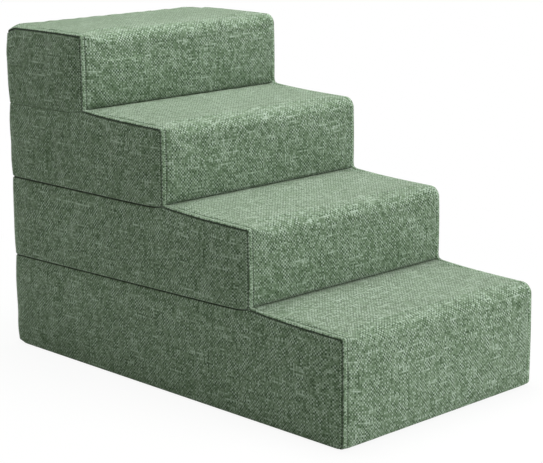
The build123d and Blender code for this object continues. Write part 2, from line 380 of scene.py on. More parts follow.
@dataclass(frozen=True)
class Settling:
    """Cloth that is let go off its foam between its held edges, until it lies as real cloth does."""

    pressure: float = 1.2
    slack: float = 0.012  # how much more cloth there is than its place needs, as a share
    frames: int = 16
    quality: int = 6
    mass: float = 0.35
    stretch_stiffness: float = 18.0
    shear_stiffness: float = 6.0
    bending_stiffness: float = 1.5
    rise_limit: float = 1.8 * MM
    sink_limit: float = 0.9 * MM

    def rise(self, lie: Lie, loose: np.ndarray) -> np.ndarray:
        """Simulates one sheet.

        Args:
            lie: A coarse grid of places on the sheet.
            loose: Which points are free to move. The others are held.

        Returns:
            How far each point rises along its outward direction, within the limits.
        """
        points, outward = lie.points, lie.outward
        bm = cloth_grid(points, Vector(outward.reshape(-1, 3).mean(axis=0)))
        mesh = bpy.data.meshes.new("settling")
        columns = points.shape[1]
        order = []
        for vertex in bm.verts:
            gaps = np.abs(points - np.array(vertex.co)).sum(axis=2)
            order.append(divmod(int(gaps.argmin()), columns))
        bm.to_mesh(mesh)
        bm.free()
        sheet = bpy.data.objects.new("settling", mesh)
        bpy.context.scene.collection.objects.link(sheet)
        held = sheet.vertex_groups.new(name="held")
        held.add([i for i, at in enumerate(order) if not loose[at]], 1.0, "REPLACE")
        cloth = sheet.modifiers.new("Cloth", "CLOTH")
        self.set_up(cloth, held.name)
        scene = bpy.context.scene
        for moment in range(1, self.frames + 1):
            scene.frame_set(moment)
        settled = sheet.evaluated_get(bpy.context.evaluated_depsgraph_get())
        rise = np.zeros(points.shape[:2])
        for vertex, at in zip(settled.data.vertices, order):
            rise[at] = float((np.array(vertex.co) - points[at]) @ outward[at])
        bpy.data.objects.remove(sheet)
        bpy.data.meshes.remove(mesh)
        scene.frame_set(1)
        return np.clip(rise, -self.sink_limit, self.rise_limit)

    def reader(self, surface: Callable, columns: np.ndarray, rows: np.ndarray,
               held_from: float = math.inf) -> Callable:
        """Settles one sheet, held at its edges.

        Args:
            surface: Gives how the sheet lies before, by the places of columns and rows.
            columns: Places of the coarse grid's columns.
            rows: Places of its rows.
            held_from: The place from which the columns are held too.

        Returns:
            How far the sheet rises, as a function of the places along its columns and rows.
        """
        lie = surface(columns[None, :], rows[:, None])
        loose = np.zeros(lie.crease.shape, bool)
        loose[1:-1, 1:-1] = True
        loose &= (columns < held_from)[None, :]
        return grid_reader(rows, columns, self.rise(lie, loose))

    def set_up(self, cloth: bpy.types.ClothModifier, held: str) -> None:
        """Sets the cloth's stiffness, slack and pressure."""
        settings = cloth.settings
        settings.quality = self.quality
        settings.mass = self.mass
        settings.tension_stiffness = self.stretch_stiffness
        settings.compression_stiffness = self.stretch_stiffness
        settings.shear_stiffness = self.shear_stiffness
        settings.bending_stiffness = self.bending_stiffness
        settings.vertex_group_mass = held
        settings.pin_stiffness = 1.0
        settings.shrink_min = -self.slack
        settings.use_pressure = True
        settings.uniform_pressure_force = self.pressure
        settings.effector_weights.gravity = 0.0
        cloth.collision_settings.use_self_collision = False
        cloth.point_cache.frame_start = 1
        cloth.point_cache.frame_end = self.frames


# Places of the seams


@dataclass(frozen=True)
class Layer:
    """One step: its riser, its nose and its tread."""

    name: str
    place: int  # 1 for the first step
    foot: float  # height at which the riser starts
    level: float  # height of the nose
    front: float  # place of the riser along X
    tread_rear: float  # place of the tread's rear edge along X
    lift: float  # how far the tread climbs to the riser behind it

    @property
    def is_top(self) -> bool:
        """Whether this is the top step."""
        return self.name == LAYER_NAMES[-1]


@dataclass(frozen=True)
class Stairs:
    """Where everything is, worked out from the solids' boxes."""

    tread_lift: float = 6.0 * MM
    tread_crown: float = 1.5 * MM
    riser_crown: float = 2.0 * MM
    side_crown: float = 2.5 * MM
    back_crown: float = 2.0 * MM
    welt_rise: float = 1.3 * MM
    cloth: float = 1.6 * MM

    def layer(self, place: int) -> Layer:
        """The sizes of one step, counted from 1 at the bottom."""
        name = LAYER_NAMES[place - 1]
        low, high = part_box(f"{name}_step_panel")
        top = place == len(LAYER_NAMES)
        lift = 0.0 if top else self.tread_lift
        level = high.z - self.welt_rise - (self.tread_crown if top else lift)
        front = high.x - self.riser_crown - self.welt_rise
        return Layer(name, place, low.z, level, front, low.x, lift)

    @property
    def layers(self) -> list[Layer]:
        """All four steps, from the bottom."""
        return [self.layer(place) for place in range(1, len(LAYER_NAMES) + 1)]

    @property
    def seam_half(self) -> float:
        """Half the width at the seams."""
        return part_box("first_step_panel")[1].y

    @property
    def rear(self) -> float:
        """The rearmost place of the back."""
        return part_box("left_first_belt")[0].x


# Shader nodes


class Graph:
    """A node tree that is built from top to bottom, with each node wired as it is made."""

    def __init__(self, tree: bpy.types.NodeTree) -> None:
        """Starts on a tree, which may already hold nodes."""
        self.tree = tree

    def node(self, kind: str, **settings: object) -> bpy.types.Node:
        """Adds a node and sets its properties."""
        made = self.tree.nodes.new(kind)
        for name, value in settings.items():
            setattr(made, name, value)
        return made

    def wire(self, source: object, target: bpy.types.NodeSocket) -> None:
        """Links an output to an input, or sets the input to a plain value."""
        if isinstance(source, bpy.types.NodeSocket):
            self.tree.links.new(source, target)
        elif source is not None:
            target.default_value = source

    def math(self, operation: str, one: object, other: object = None,
             third: object = None) -> bpy.types.NodeSocket:
        """A sum on numbers, given as sockets or plain values.

        Args:
            operation: The Math node's operation.
            one: The first value.
            other: The second value.
            third: The third value.

        Returns:
            The result's socket.
        """
        made = self.node("ShaderNodeMath", operation=operation)
        for source, target in zip((one, other, third), made.inputs):
            self.wire(source, target)
        return made.outputs[0]

    def plus(self, one: object, other: object) -> bpy.types.NodeSocket:
        """One number plus another."""
        return self.math("ADD", one, other)

    def minus(self, one: object, other: object) -> bpy.types.NodeSocket:
        """One number minus another."""
        return self.math("SUBTRACT", one, other)

    def times(self, one: object, other: object) -> bpy.types.NodeSocket:
        """One number times another."""
        return self.math("MULTIPLY", one, other)

    def remap(self, value: object, low: float, high: float, to_low: float,
              to_high: float) -> bpy.types.NodeSocket:
        """Stretches a range of values to another, clamped."""
        made = self.node("ShaderNodeMapRange")
        for source, target in zip((value, low, high, to_low, to_high), made.inputs):
            self.wire(source, target)
        return made.outputs[0]

    def combine(self, x: object, y: object, z: object = 0.0) -> bpy.types.NodeSocket:
        """A vector from three numbers."""
        made = self.node("ShaderNodeCombineXYZ")
        for source, target in zip((x, y, z), made.inputs):
            self.wire(source, target)
        return made.outputs[0]

    def separate(self, vector: object) -> tuple[bpy.types.NodeSocket, ...]:
        """The three numbers of a vector."""
        made = self.node("ShaderNodeSeparateXYZ")
        self.wire(vector, made.inputs[0])
        return tuple(made.outputs)

    def scale(self, vector: object, factor: object) -> bpy.types.NodeSocket:
        """A vector times a number."""
        made = self.node("ShaderNodeVectorMath", operation="SCALE")
        self.wire(vector, made.inputs[0])
        self.wire(factor, made.inputs["Scale"])
        return made.outputs[0]

    def noise(self, vector: object, scale: object, detail: float = 2.0,
              roughness: float = 0.5) -> bpy.types.NodeSocket:
        """Smooth noise, about from 0 to 1."""
        made = self.node("ShaderNodeTexNoise")
        self.wire(vector, made.inputs["Vector"])
        self.wire(scale, made.inputs["Scale"])
        made.inputs["Detail"].default_value = detail
        made.inputs["Roughness"].default_value = roughness
        return made.outputs["Fac"]

    def speckle(self, vector: object) -> bpy.types.NodeSocket:
        """A number from 0 to 1 that is unrelated from one cell to the next."""
        made = self.node("ShaderNodeTexWhiteNoise")
        self.wire(vector, made.inputs["Vector"])
        return made.outputs["Value"]

    def blend(self, share: object, one: object, other: object, how: str = "MIX") -> bpy.types.NodeSocket:
        """Mixes two colours.

        Args:
            share: How much of the second.
            one: The first colour.
            other: The second colour.
            how: The way of mixing.

        Returns:
            The mixed colour's socket.
        """
        made = self.node("ShaderNodeMix", data_type="RGBA", blend_type=how)
        self.wire(share, made.inputs["Factor"])
        self.wire(one, made.inputs["A"])
        self.wire(other, made.inputs["B"])
        return made.outputs["Result"]

    def group(self, tree: bpy.types.NodeTree, **values: object) -> bpy.types.Node:
        """Places a shared group, with an underscore in a name for a space."""
        made = self.node("ShaderNodeGroup", node_tree=tree)
        for name, value in values.items():
            self.wire(value, made.inputs[name.replace("_", " ")])
        return made


def clear_graph(owner: bpy.types.Material | bpy.types.World) -> Graph:
    """Empties the nodes of a material or a world, to build them anew."""
    owner.use_nodes = True
    owner.node_tree.nodes.clear()
    return Graph(owner.node_tree)


@dataclass(frozen=True)
class SocketPlan:
    """One input or output of a shared group."""

    name: str
    kind: str = "NodeSocketFloat"
    value: object = None


def new_group(name: str, takes: Sequence[SocketPlan],
              gives: Sequence[SocketPlan]) -> tuple[Graph, dict, dict]:
    """Starts a shared group of shader nodes.

    Args:
        name: The group's name.
        takes: Its inputs.
        gives: Its outputs.

    Returns:
        The graph to build in, its input sockets by name, and its output sockets by name.
    """
    tree = bpy.data.node_groups.new(name, "ShaderNodeTree")
    for plan in takes:
        made = tree.interface.new_socket(name=plan.name, in_out="INPUT", socket_type=plan.kind)
        if plan.value is not None:
            made.default_value = plan.value
    for plan in gives:
        tree.interface.new_socket(name=plan.name, in_out="OUTPUT", socket_type=plan.kind)
    graph = Graph(tree)
    start, end = graph.node("NodeGroupInput"), graph.node("NodeGroupOutput")
    inputs = {plan.name: start.outputs[plan.name] for plan in takes}
    return graph, inputs, {plan.name: end.inputs[plan.name] for plan in gives}


@dataclass(frozen=True)
class Yarns:
    """How one set of yarns varies. Places are in yarns' widths, and scales are waves per width."""

    seed: float  # sets one set of yarns apart from another
    step: float = 5.3  # from one yarn to the next in the noise, so that neighbours differ
    shade_scale: float = 0.07
    shade_share: float = 0.7
    fibre_scales: tuple[float, float] = (4.2, 1.1)  # across and along the yarn
    fibre_share: float = 0.8
    slub_scale: float = 0.055
    thick_range: tuple[float, float] = (0.63, 0.66)
    thick_tone: float = 0.95
    thin_range: tuple[float, float] = (0.3, 0.34)
    thin_tone: float = -0.6

    def tone(self, graph: Graph, across: bpy.types.NodeSocket,
             along: bpy.types.NodeSocket) -> bpy.types.NodeSocket:
        """Each yarn has its own shade, with streaks of fibre and some slubs.

        Args:
            graph: The graph to build in.
            across: The place across the yarns.
            along: The place along them.

        Returns:
            The tone, about from -0.5 to 0.7.
        """
        apart = graph.times(graph.math("FLOOR", across), self.step)
        place = graph.combine(apart, graph.times(along, self.shade_scale), self.seed)
        shade = graph.times(graph.minus(graph.noise(place, 1.0, 1.0), 0.5), self.shade_share)
        fibre = graph.combine(graph.math("MULTIPLY_ADD", across, self.fibre_scales[0], apart),
                              graph.times(along, self.fibre_scales[1]), self.seed + 20.0)
        streaks = graph.minus(graph.noise(fibre, 1.0, 0.0), 0.5)
        shade = graph.math("MULTIPLY_ADD", streaks, self.fibre_share, shade)
        place = graph.combine(apart, graph.times(along, self.slub_scale), self.seed + 40.0)
        slub = graph.noise(place, 1.0, 1.0)
        thick = graph.remap(slub, *self.thick_range, 0.0, self.thick_tone)
        thin = graph.remap(slub, *self.thin_range, self.thin_tone, 0.0)
        return graph.plus(shade, graph.plus(thick, thin))


@dataclass(frozen=True)
class Weave:
    """Two sets of slubby yarns that pass over and under each other. Scales are waves per yarn's width."""

    upright: Yarns = Yarns(seed=1.0)
    level: Yarns = Yarns(seed=6.0)
    wander_scale: float = 0.09
    clear_scale: float = 0.13
    clear_range: tuple[float, float] = (0.7, 1.3)  # how clearly the two sets differ, from place to place
    strand_power: float = 0.5  # of the two strands in each yarn: less is flatter with a sharper groove
    low_shade: float = 0.64  # painted shade between the yarns, where their tops are 1

    def wander(self, graph: Graph, one: bpy.types.NodeSocket, other: bpy.types.NodeSocket,
               seed: float) -> bpy.types.NodeSocket:
        """How far the yarns of one set stray, about from -0.5 to 0.5."""
        return graph.minus(graph.noise(graph.combine(one, other, seed), self.wander_scale, 1.0), 0.5)

    def raised(self, graph: Graph, across: bpy.types.NodeSocket,
               along: bpy.types.NodeSocket) -> bpy.types.NodeSocket:
        """The height of a yarn where it lies on top, from 0 to 1.

        Args:
            graph: The graph to build in.
            across: The place across the yarn, from 0 to 1.
            along: The place along it between two crossings, from 0 to 1.

        Returns:
            The height: two strands side by side, which dip under at both ends.
        """
        strands = graph.math("ABSOLUTE", graph.math("SINE", graph.times(across, 2 * math.pi)))
        dome = graph.math("SINE", graph.times(along, math.pi))
        return graph.times(graph.math("POWER", strands, self.strand_power), dome)

    def build(self) -> bpy.types.NodeTree:
        """Builds the shared group, which reads a chart in metres and gives tone, painted shade between the
        yarns, and height.
        """
        graph, takes, gives = new_group(
            "Woven yarns",
            [SocketPlan("Chart", "NodeSocketVector"), SocketPlan("Pitch", value=0.0023),
             SocketPlan("Wander", value=0.5), SocketPlan("Yarn contrast", value=0.2),
             SocketPlan("Fleck contrast", value=0.3), SocketPlan("Slub contrast", value=0.6)],
            [SocketPlan("Tone"), SocketPlan("Shade"), SocketPlan("Height")])
        cells = graph.scale(takes["Chart"], graph.math("DIVIDE", 1.0, takes["Pitch"]))
        x, y, _ = graph.separate(cells)
        sway, drift = self.wander(graph, x, y, 3.0), self.wander(graph, y, x, 8.0)
        x = graph.math("MULTIPLY_ADD", sway, takes["Wander"], x)
        y = graph.math("MULTIPLY_ADD", drift, takes["Wander"], y)
        column, row = graph.math("FLOOR", x), graph.math("FLOOR", y)
        over = graph.math("FLOORED_MODULO", graph.plus(column, row), 2.0)
        under = graph.minus(1.0, over)
        yarn = graph.plus(graph.times(over, self.upright.tone(graph, x, y)),
                          graph.times(under, self.level.tone(graph, y, x)))
        yarn = graph.times(yarn, takes["Slub contrast"])
        fleck = graph.minus(graph.speckle(graph.combine(column, row)), 0.5)
        clear = graph.noise(graph.combine(x, y, 15.0), self.clear_scale, 1.0)
        side = graph.times(graph.minus(over, 0.5), takes["Yarn contrast"])
        side = graph.times(side, graph.remap(clear, *NOISE_RANGE, *self.clear_range))
        tone = graph.plus(graph.math("MULTIPLY_ADD", fleck, takes["Fleck contrast"], yarn), side)
        graph.wire(graph.plus(tone, 0.5), gives["Tone"])
        across_x, across_y = graph.math("FRACT", x), graph.math("FRACT", y)
        height = graph.plus(graph.times(over, self.raised(graph, across_x, across_y)),
                            graph.times(under, self.raised(graph, across_y, across_x)))
        graph.wire(height, gives["Height"])
        # Painted shade: darker where the yarns dip under each other.
        graph.wire(graph.math("MULTIPLY_ADD", height, 1 - self.low_shade, self.low_shade), gives["Shade"])
        return graph.tree


def build_patina() -> bpy.types.NodeTree:
    """The shared patina: broad soft patches and fine grain, as handling and dust leave on any surface.

    Returns:
        The group, which reads a place in metres.
    """
    graph, takes, gives = new_group(
        "Patina",
        [SocketPlan("Place", "NodeSocketVector"), SocketPlan("Patch scale", value=9.0),
         SocketPlan("Grain scale", value=400.0)],
        [SocketPlan("Patches"), SocketPlan("Grain")])
    graph.wire(graph.noise(takes["Place"], takes["Patch scale"], 3.0, 0.55), gives["Patches"])
    graph.wire(graph.noise(takes["Place"], takes["Grain scale"], 2.0, 0.6), gives["Grain"])
    return graph.tree


Colour = tuple[float, float, float, float]


@dataclass(frozen=True)
class ClothFinish:
    """A woven cloth of heathered yarns."""

    name: str
    dark: Colour
    middle: Colour
    light: Colour
    pitch: float
    yarn_contrast: float
    fleck_contrast: float
    slub_contrast: float
    relief: float
    sheen: float
    roughness: float
    crease: Colour = (0.004, 0.011, 0.004, 1)  # painted shade at the bottom of a seam
    seam_shade_share: float = 0.95  # of the painted shade colour at the bottom of a seam
    crest_highlight: float = 1.5  # how light the painted highlight on the welt's crest is beside the rest
    patch_shades: tuple[float, float] = (0.97, 1.03)
    roughness_spread: float = 0.05
    sheen_roughness: float = 0.35
    sheen_tint: Colour = (0.92, 1.0, 0.9, 1)
    specular: float = 0.05
    fuzz_share: float = 0.25  # of the yarns' height
    by_chart: bool = True

    def make(self, weave: bpy.types.NodeTree, patina: bpy.types.NodeTree) -> bpy.types.Material:
        """Builds the material.

        Args:
            weave: The shared weave.
            patina: The shared patina.

        Returns:
            The material.
        """
        material, graph, shader = start_material(self.name)
        coordinates = graph.node("ShaderNodeTexCoord")
        if self.by_chart:
            chart = graph.node("ShaderNodeUVMap", uv_map=CHART).outputs["UV"]
        else:
            place = graph.separate(coordinates.outputs["Object"])
            chart = graph.combine(place[1], place[2])
        cloth = graph.group(weave, Chart=chart, Pitch=self.pitch, Yarn_contrast=self.yarn_contrast,
                            Fleck_contrast=self.fleck_contrast, Slub_contrast=self.slub_contrast)
        worn = graph.group(patina, Place=coordinates.outputs["Object"])
        dark = graph.remap(cloth.outputs["Tone"], 0.0, 0.5, 0.0, 1.0)
        light = graph.remap(cloth.outputs["Tone"], 0.5, 1.0, 0.0, 1.0)
        colour = graph.blend(light, graph.blend(dark, self.dark, self.middle), self.light)
        # Painted shade between the yarns, times the patina's real patches, times the painted highlight on
        # the welt's crest; then painted shade at the bottom of the seams.
        shade = graph.times(cloth.outputs["Shade"],
                            graph.remap(worn.outputs["Patches"], *NOISE_RANGE, *self.patch_shades))
        crease = graph.node("ShaderNodeAttribute", attribute_name=PAINTED_SHADE).outputs["Fac"]
        shade = graph.times(shade, graph.remap(crease, -1.0, 0.0, self.crest_highlight, 1.0))
        colour = graph.blend(1.0, colour, graph.combine(shade, shade, shade), "MULTIPLY")
        colour = graph.blend(graph.remap(crease, 0.0, 1.0, 0.0, self.seam_shade_share), colour, self.crease)
        graph.wire(colour, shader.inputs["Base Color"])
        wire_roughness(graph, shader, worn.outputs["Grain"], self.roughness, self.roughness_spread)
        shader.inputs["Sheen Weight"].default_value = self.sheen
        shader.inputs["Sheen Roughness"].default_value = self.sheen_roughness
        shader.inputs["Sheen Tint"].default_value = self.sheen_tint
        shader.inputs["Specular IOR Level"].default_value = self.specular
        fibre = graph.math("MULTIPLY_ADD", worn.outputs["Grain"], self.fuzz_share, cloth.outputs["Height"])
        wire_relief(graph, shader, fibre, self.relief)
        return material


@dataclass(frozen=True)
class PlainFinish:
    """An unwoven surface: thread, foam, plastic or metal."""

    name: str
    dark: Colour
    light: Colour
    roughness: float
    relief: float
    grain_scale: float
    metallic: float = 0.0
    sheen: float = 0.0
    grain_share: float = 0.7  # of the tone, and the broad patches make the rest
    roughness_spread: float = 0.06

    def make(self, patina: bpy.types.NodeTree) -> bpy.types.Material:
        """Builds the material over the shared patina."""
        material, graph, shader = start_material(self.name)
        coordinates = graph.node("ShaderNodeTexCoord")
        worn = graph.group(patina, Place=coordinates.outputs["Object"], Grain_scale=self.grain_scale)
        tone = graph.plus(graph.times(worn.outputs["Grain"], self.grain_share),
                          graph.times(worn.outputs["Patches"], 1 - self.grain_share))
        graph.wire(graph.blend(graph.remap(tone, *NOISE_RANGE, 0.0, 1.0), self.dark, self.light),
                   shader.inputs["Base Color"])
        wire_roughness(graph, shader, worn.outputs["Patches"], self.roughness, self.roughness_spread)
        shader.inputs["Metallic"].default_value = self.metallic
        shader.inputs["Sheen Weight"].default_value = self.sheen
        wire_relief(graph, shader, worn.outputs["Grain"], self.relief)
        return material


def start_material(name: str) -> tuple[bpy.types.Material, Graph, bpy.types.Node]:
    """Starts a material.

    Args:
        name: The material's name.

    Returns:
        The material, its graph and its Principled shader.
    """
    material = bpy.data.materials.new(name)
    graph = clear_graph(material)
    shader = graph.node("ShaderNodeBsdfPrincipled")
    graph.wire(shader.outputs[0], graph.node("ShaderNodeOutputMaterial").inputs["Surface"])
    return material, graph, shader


def wire_roughness(graph: Graph, shader: bpy.types.Node, mask: bpy.types.NodeSocket, middle: float,
                   spread: float) -> None:
    """Lets the roughness follow a mask, up to the spread either side of its middle value."""
    roughness = graph.remap(mask, *NOISE_RANGE, middle - spread, middle + spread)
    graph.wire(roughness, shader.inputs["Roughness"])


def wire_relief(graph: Graph, shader: bpy.types.Node, height: bpy.types.NodeSocket, depth: float) -> None:
    """Turns a height from 0 to 1 into relief of that depth in metres."""
    bump = graph.node("ShaderNodeBump")
    bump.inputs["Strength"].default_value = 1.0
    bump.inputs["Distance"].default_value = depth
    graph.wire(height, bump.inputs["Height"])
    graph.wire(bump.outputs[0], shader.inputs["Normal"])


COVER = ClothFinish("sage upholstery cloth", (0.054, 0.092, 0.048, 1), (0.184, 0.268, 0.168, 1),
                    (0.45, 0.555, 0.455, 1), pitch=2.4 * MM, yarn_contrast=0.4, fleck_contrast=0.62,
                    slub_contrast=0.58, relief=0.2 * MM, sheen=0.68, roughness=0.85)
GRIP = ClothFinish("anti-slip cloth", (0.02, 0.024, 0.02, 1), (0.045, 0.052, 0.045, 1),
                   (0.09, 0.1, 0.09, 1), pitch=1.2 * MM, yarn_contrast=0.1, fleck_contrast=0.2,
                   slub_contrast=0.4, relief=0.15 * MM, sheen=0.05, roughness=0.8)
TAPE = ClothFinish("zip tape", (0.06, 0.09, 0.055, 1), (0.15, 0.2, 0.14, 1), (0.24, 0.31, 0.23, 1),
                   pitch=0.9 * MM, yarn_contrast=0.3, fleck_contrast=0.1, slub_contrast=0.2,
                   relief=0.12 * MM, sheen=0.1, roughness=0.75, by_chart=False)
THREAD = PlainFinish("sewing thread", (0.34, 0.47, 0.33, 1), (0.54, 0.68, 0.52, 1), roughness=0.6,
                     relief=0.05 * MM, grain_scale=2500.0, sheen=0.2)
FOAM = PlainFinish("cushion foam", (0.62, 0.57, 0.42, 1), (0.8, 0.76, 0.62, 1), roughness=0.9,
                   relief=0.4 * MM, grain_scale=900.0)
RUBBER = PlainFinish("rubber dots", (0.015, 0.017, 0.015, 1), (0.035, 0.038, 0.035, 1), roughness=0.55,
                     relief=0.05 * MM, grain_scale=1200.0)
TEETH = PlainFinish("moulded zip teeth", (0.1, 0.14, 0.09, 1), (0.17, 0.22, 0.16, 1), roughness=0.4,
                    relief=0.03 * MM, grain_scale=1500.0)
METAL = PlainFinish("nickelled zinc", (0.42, 0.42, 0.4, 1), (0.62, 0.62, 0.6, 1), roughness=0.32,
                    relief=0.02 * MM, grain_scale=2200.0, metallic=1.0)


@dataclass
class Finishes:
    """All the materials, made once."""

    cover: bpy.types.Material
    grip: bpy.types.Material
    tape: bpy.types.Material
    thread: bpy.types.Material
    foam: bpy.types.Material
    rubber: bpy.types.Material
    teeth: bpy.types.Material
    metal: bpy.types.Material

    @classmethod
    def make(cls) -> "Finishes":
        """Builds the shared groups and every material."""
        weave, patina = Weave().build(), build_patina()
        return cls(*(finish.make(weave, patina) for finish in (COVER, GRIP, TAPE)),
                   *(finish.make(patina) for finish in (THREAD, FOAM, RUBBER, TEETH, METAL)))


# Stitching


@dataclass(frozen=True)
class Stitching:
    """A row of stitches that lie on the cloth."""

    pitch: float = 3.1 * MM
    stitch_length: float = 2.1 * MM
    thread_width: float = 1.0 * MM
    thread_height: float = 0.7 * MM
    proud: float = 0.25 * MM
    pull_reach: float = 1.3 * MM

    def pull(self, distance: np.ndarray, run: np.ndarray) -> np.ndarray:
        """How far the thread pulls the cloth down, from 0 to 1: most where it goes through.

        Args:
            distance: Distances from the row.
            run: Places along the row, from its first stitch.

        Returns:
            The pull at each place.
        """
        through = 0.5 + 0.5 * np.cos(2 * math.pi * run / self.pitch)
        return bell(distance, self.pull_reach) * through

    def sew(self, bm: bmesh.types.BMesh, lie: Lie, run: np.ndarray) -> None:
        """Sews one row.

        Args:
            bm: The mesh that takes the stitches.
            lie: Points close together along the row.
            run: How far along the row each point is, from any start.
        """
        run = run - run[0]
        gap = (self.pitch - self.stitch_length) / 2
        for stitch in range(int(run[-1] / self.pitch)):
            first = stitch * self.pitch
            places = (first + gap, first + self.pitch - gap, first + self.pitch / 2)
            start, end = (Vector([np.interp(at, run, lie.points[:, axis]) for axis in range(3)])
                          for at in places[:2])
            up = Vector([np.interp(places[2], run, lie.outward[:, axis]) for axis in range(3)])
            self.stitch(bm, start, end, up.normalized())

    def stitch(self, bm: bmesh.types.BMesh, start: Vector, end: Vector, up: Vector) -> None:
        """Adds one stitch from start to end, on the face that looks up."""
        along = (end - start).normalized()
        beside = up.cross(along).normalized()
        up = along.cross(beside)
        axes = Matrix((along, beside, up)).transposed().to_4x4()
        size = Matrix.Diagonal(((end - start).length / 2, self.thread_width / 2,
                                self.thread_height / 2, 1.0))
        place = Matrix.Translation((start + end) / 2 + up * self.proud)
        bmesh.ops.create_icosphere(bm, subdivisions=1, radius=1.0, matrix=place @ axes @ size)


# The step panels


@dataclass
class StepPanel:
    """Tread and riser of one step in one cloth, with a welt along both side edges."""

    stairs: Stairs
    layer: Layer
    finishes: Finishes
    nose_radius: float = 21.0 * MM
    seam_radii: tuple[float, float] = (3.0 * MM, 14.5 * MM)  # of the nose at the left and right seams
    bend_radius: float = 7.0 * MM  # that sets how much cloth the nose takes
    slope_step: float = 0.5 * MM  # to either side of a place, to read the slope there
    pinch_from: float = 4.0 * MM  # from a side seam to where the nose's radius starts to grow
    pinch_reach: float = 45.0 * MM  # from a side seam to where it is at its full size
    climb_power: float = 2.6  # how late the tread climbs to the riser behind it
    seam_swell_share: float = 0.35  # of the crowns, at the side seams
    crown_reach: float = 70.0 * MM
    tuck_reach: float = 5.0 * MM
    riser_tuck: float = 2.4 * MM
    tread_tuck: float = 0.9 * MM
    tuck_under: float = 2.5 * MM  # how far the riser's cloth goes on below the tread's surface
    flare_reach: float = 9.0 * MM
    flares: tuple[float, float] = (0.6 * MM, 2.6 * MM)  # of the welt at the inner corners, left and right
    welt_range: tuple[float, float] = (5.0 * MM, 8.5 * MM)  # where the welt gives way to the plain cloth
    corner_lift: float = 2.5 * MM  # of the first panel's lower corners off the floor
    corner_reach: float = 11.0 * MM
    droop: float = 8.0 * MM  # of the top panel's rear corners
    droop_reach: float = 22.0 * MM
    droop_round: float = 8.0 * MM  # keeps the dip round at the corner itself
    hem_radius: float = 3.5 * MM
    nose_rows: int = 12
    row_pitch: float = 1.15 * MM
    column_pitch: float = 9.0 * MM
    settle_pitch: float = 11.0 * MM
    settle_margin: float = 9.0 * MM
    ladder_rungs: int = 900  # of the table that gives lengths along a row of stitches
    stitch_row: float = 4.4 * MM  # from the side seam to the topstitching
    stitch_starts: tuple[float, float] = (2.0 * MM, 1.0 * MM)  # above the floor, and above a tread
    stitch_end: float = 3.0 * MM  # short of the next riser
    groove_row: float = 6.8 * MM  # from the side seam to where the seam allowance inside ends
    stitch_dimple: float = 0.4 * MM
    # painted shade in the stitch holes and in the groove beside the welt
    hole_shade: float = 0.9
    groove_shade: float = 0.45
    groove_reach: float = 1.3 * MM
    seam_shade_points: tuple[int, int] = (4, 6)  # of the welt's section, between which the painted shade in the seam ends
    # painted shade in the seam at the riser's foot
    foot_shade: float = 0.22
    crest_row: float = 4.6 * MM  # along the cloth from the seam's outermost place to the painted highlight on the welt's crest
    crest_widths: tuple[float, float] = (1.8 * MM, 2.6 * MM)
    crest_shares: tuple[float, float] = (0.45, 0.9)  # how light the painted highlight on the crest is, left and right
    crest_limit: float = 0.3  # the painted shade past which nothing of the painted highlight on the crest is left
    crest_beads: float = 0.6  # how far the stitches break up the painted highlight on the crest
    sewn_shares: tuple[float, float] = (1.0, 0.3)  # how dark the painted shade in the groove and the stitch holes is, left and right
    ripples: Ripples = Ripples(0.1 * MM, 16 * MM, 60 * MM, seed=11)
    ripple_reach: float = 30.0 * MM  # where they have their full height
    puckers: Ripples = Ripples(0.28 * MM, 7 * MM, 20 * MM, seed=23)
    pucker_range: tuple[float, float] = (4.0 * MM, 8.0 * MM)  # where they start, from the side seam
    pucker_fade: float = 9.0 * MM
    settling: Settling = Settling()
    stitching: Stitching = Stitching()

    def __post_init__(self) -> None:
        """Works out the lengths of cloth on the riser, round the nose and on the tread."""
        layer = self.layer
        self.foot = layer.foot - (0.0 if layer.place == 1 else self.tuck_under)
        self.upright = layer.level - self.bend_radius - self.foot
        self.bend = self.bend_radius * math.pi / 2
        self.level_run = layer.front - self.bend_radius - layer.tread_rear
        self.flat_total = self.upright + self.bend + self.level_run
        slack = WELT.runs[-1] - WELT.inward[-1]
        self.total = self.flat_total + (slack if layer.is_top else 0.0)
        self.width = 2 * (self.stairs.seam_half + slack)
        self.risen: Callable | None = None
        self.ladder = np.linspace(0.0, self.flat_total, self.ladder_rungs)
        self.row_lengths = []
        for hand in (-1.0, 1.0):
            x, z, _, _ = self.profile(self.ladder, np.full_like(self.ladder, self.stitch_row), hand)
            self.row_lengths.append(np.concatenate([[0.0], np.cumsum(np.hypot(np.diff(x), np.diff(z)))]))

    def travel(self, run: np.ndarray, hand: np.ndarray) -> np.ndarray:
        """How far along the topstitching's row a place is, from the riser's foot, by left or right hand."""
        left, right = (np.interp(run, self.ladder, lengths) for lengths in self.row_lengths)
        return np.where(hand < 0, left, right)

    def swell(self, beside: np.ndarray) -> np.ndarray:
        """The share of the full crowns at a distance from the nearer side seam."""
        return self.seam_swell_share + (1 - self.seam_swell_share) * ease(0, self.crown_reach, beside)

    def radius(self, beside: np.ndarray, hand: np.ndarray) -> np.ndarray:
        """The nose's radius at a distance from the nearer side seam, by left or right hand."""
        spread = ease(self.pinch_from, self.pinch_reach, beside)
        at_seam = np.where(hand < 0, *self.seam_radii)
        return at_seam + (self.nose_radius - at_seam) * spread

    def riser_bulge(self, z: np.ndarray, beside: np.ndarray, hand: np.ndarray) -> np.ndarray:
        """How far the riser stands out of the plane of its seams at a height."""
        share = (z - self.foot) / (self.layer.level - self.radius(beside, hand) - self.foot)
        return self.stairs.riser_crown * self.swell(beside) * arch(share)

    def tread_height(self, x: np.ndarray, beside: np.ndarray, hand: np.ndarray) -> np.ndarray:
        """The tread's height at a place along X."""
        layer = self.layer
        nose = layer.front - self.radius(beside, hand)
        share = np.clip((nose - x) / (nose - layer.tread_rear), 0, 1)
        climb = layer.lift * share ** self.climb_power
        return layer.level + climb + self.stairs.tread_crown * self.swell(beside) * arch(share)

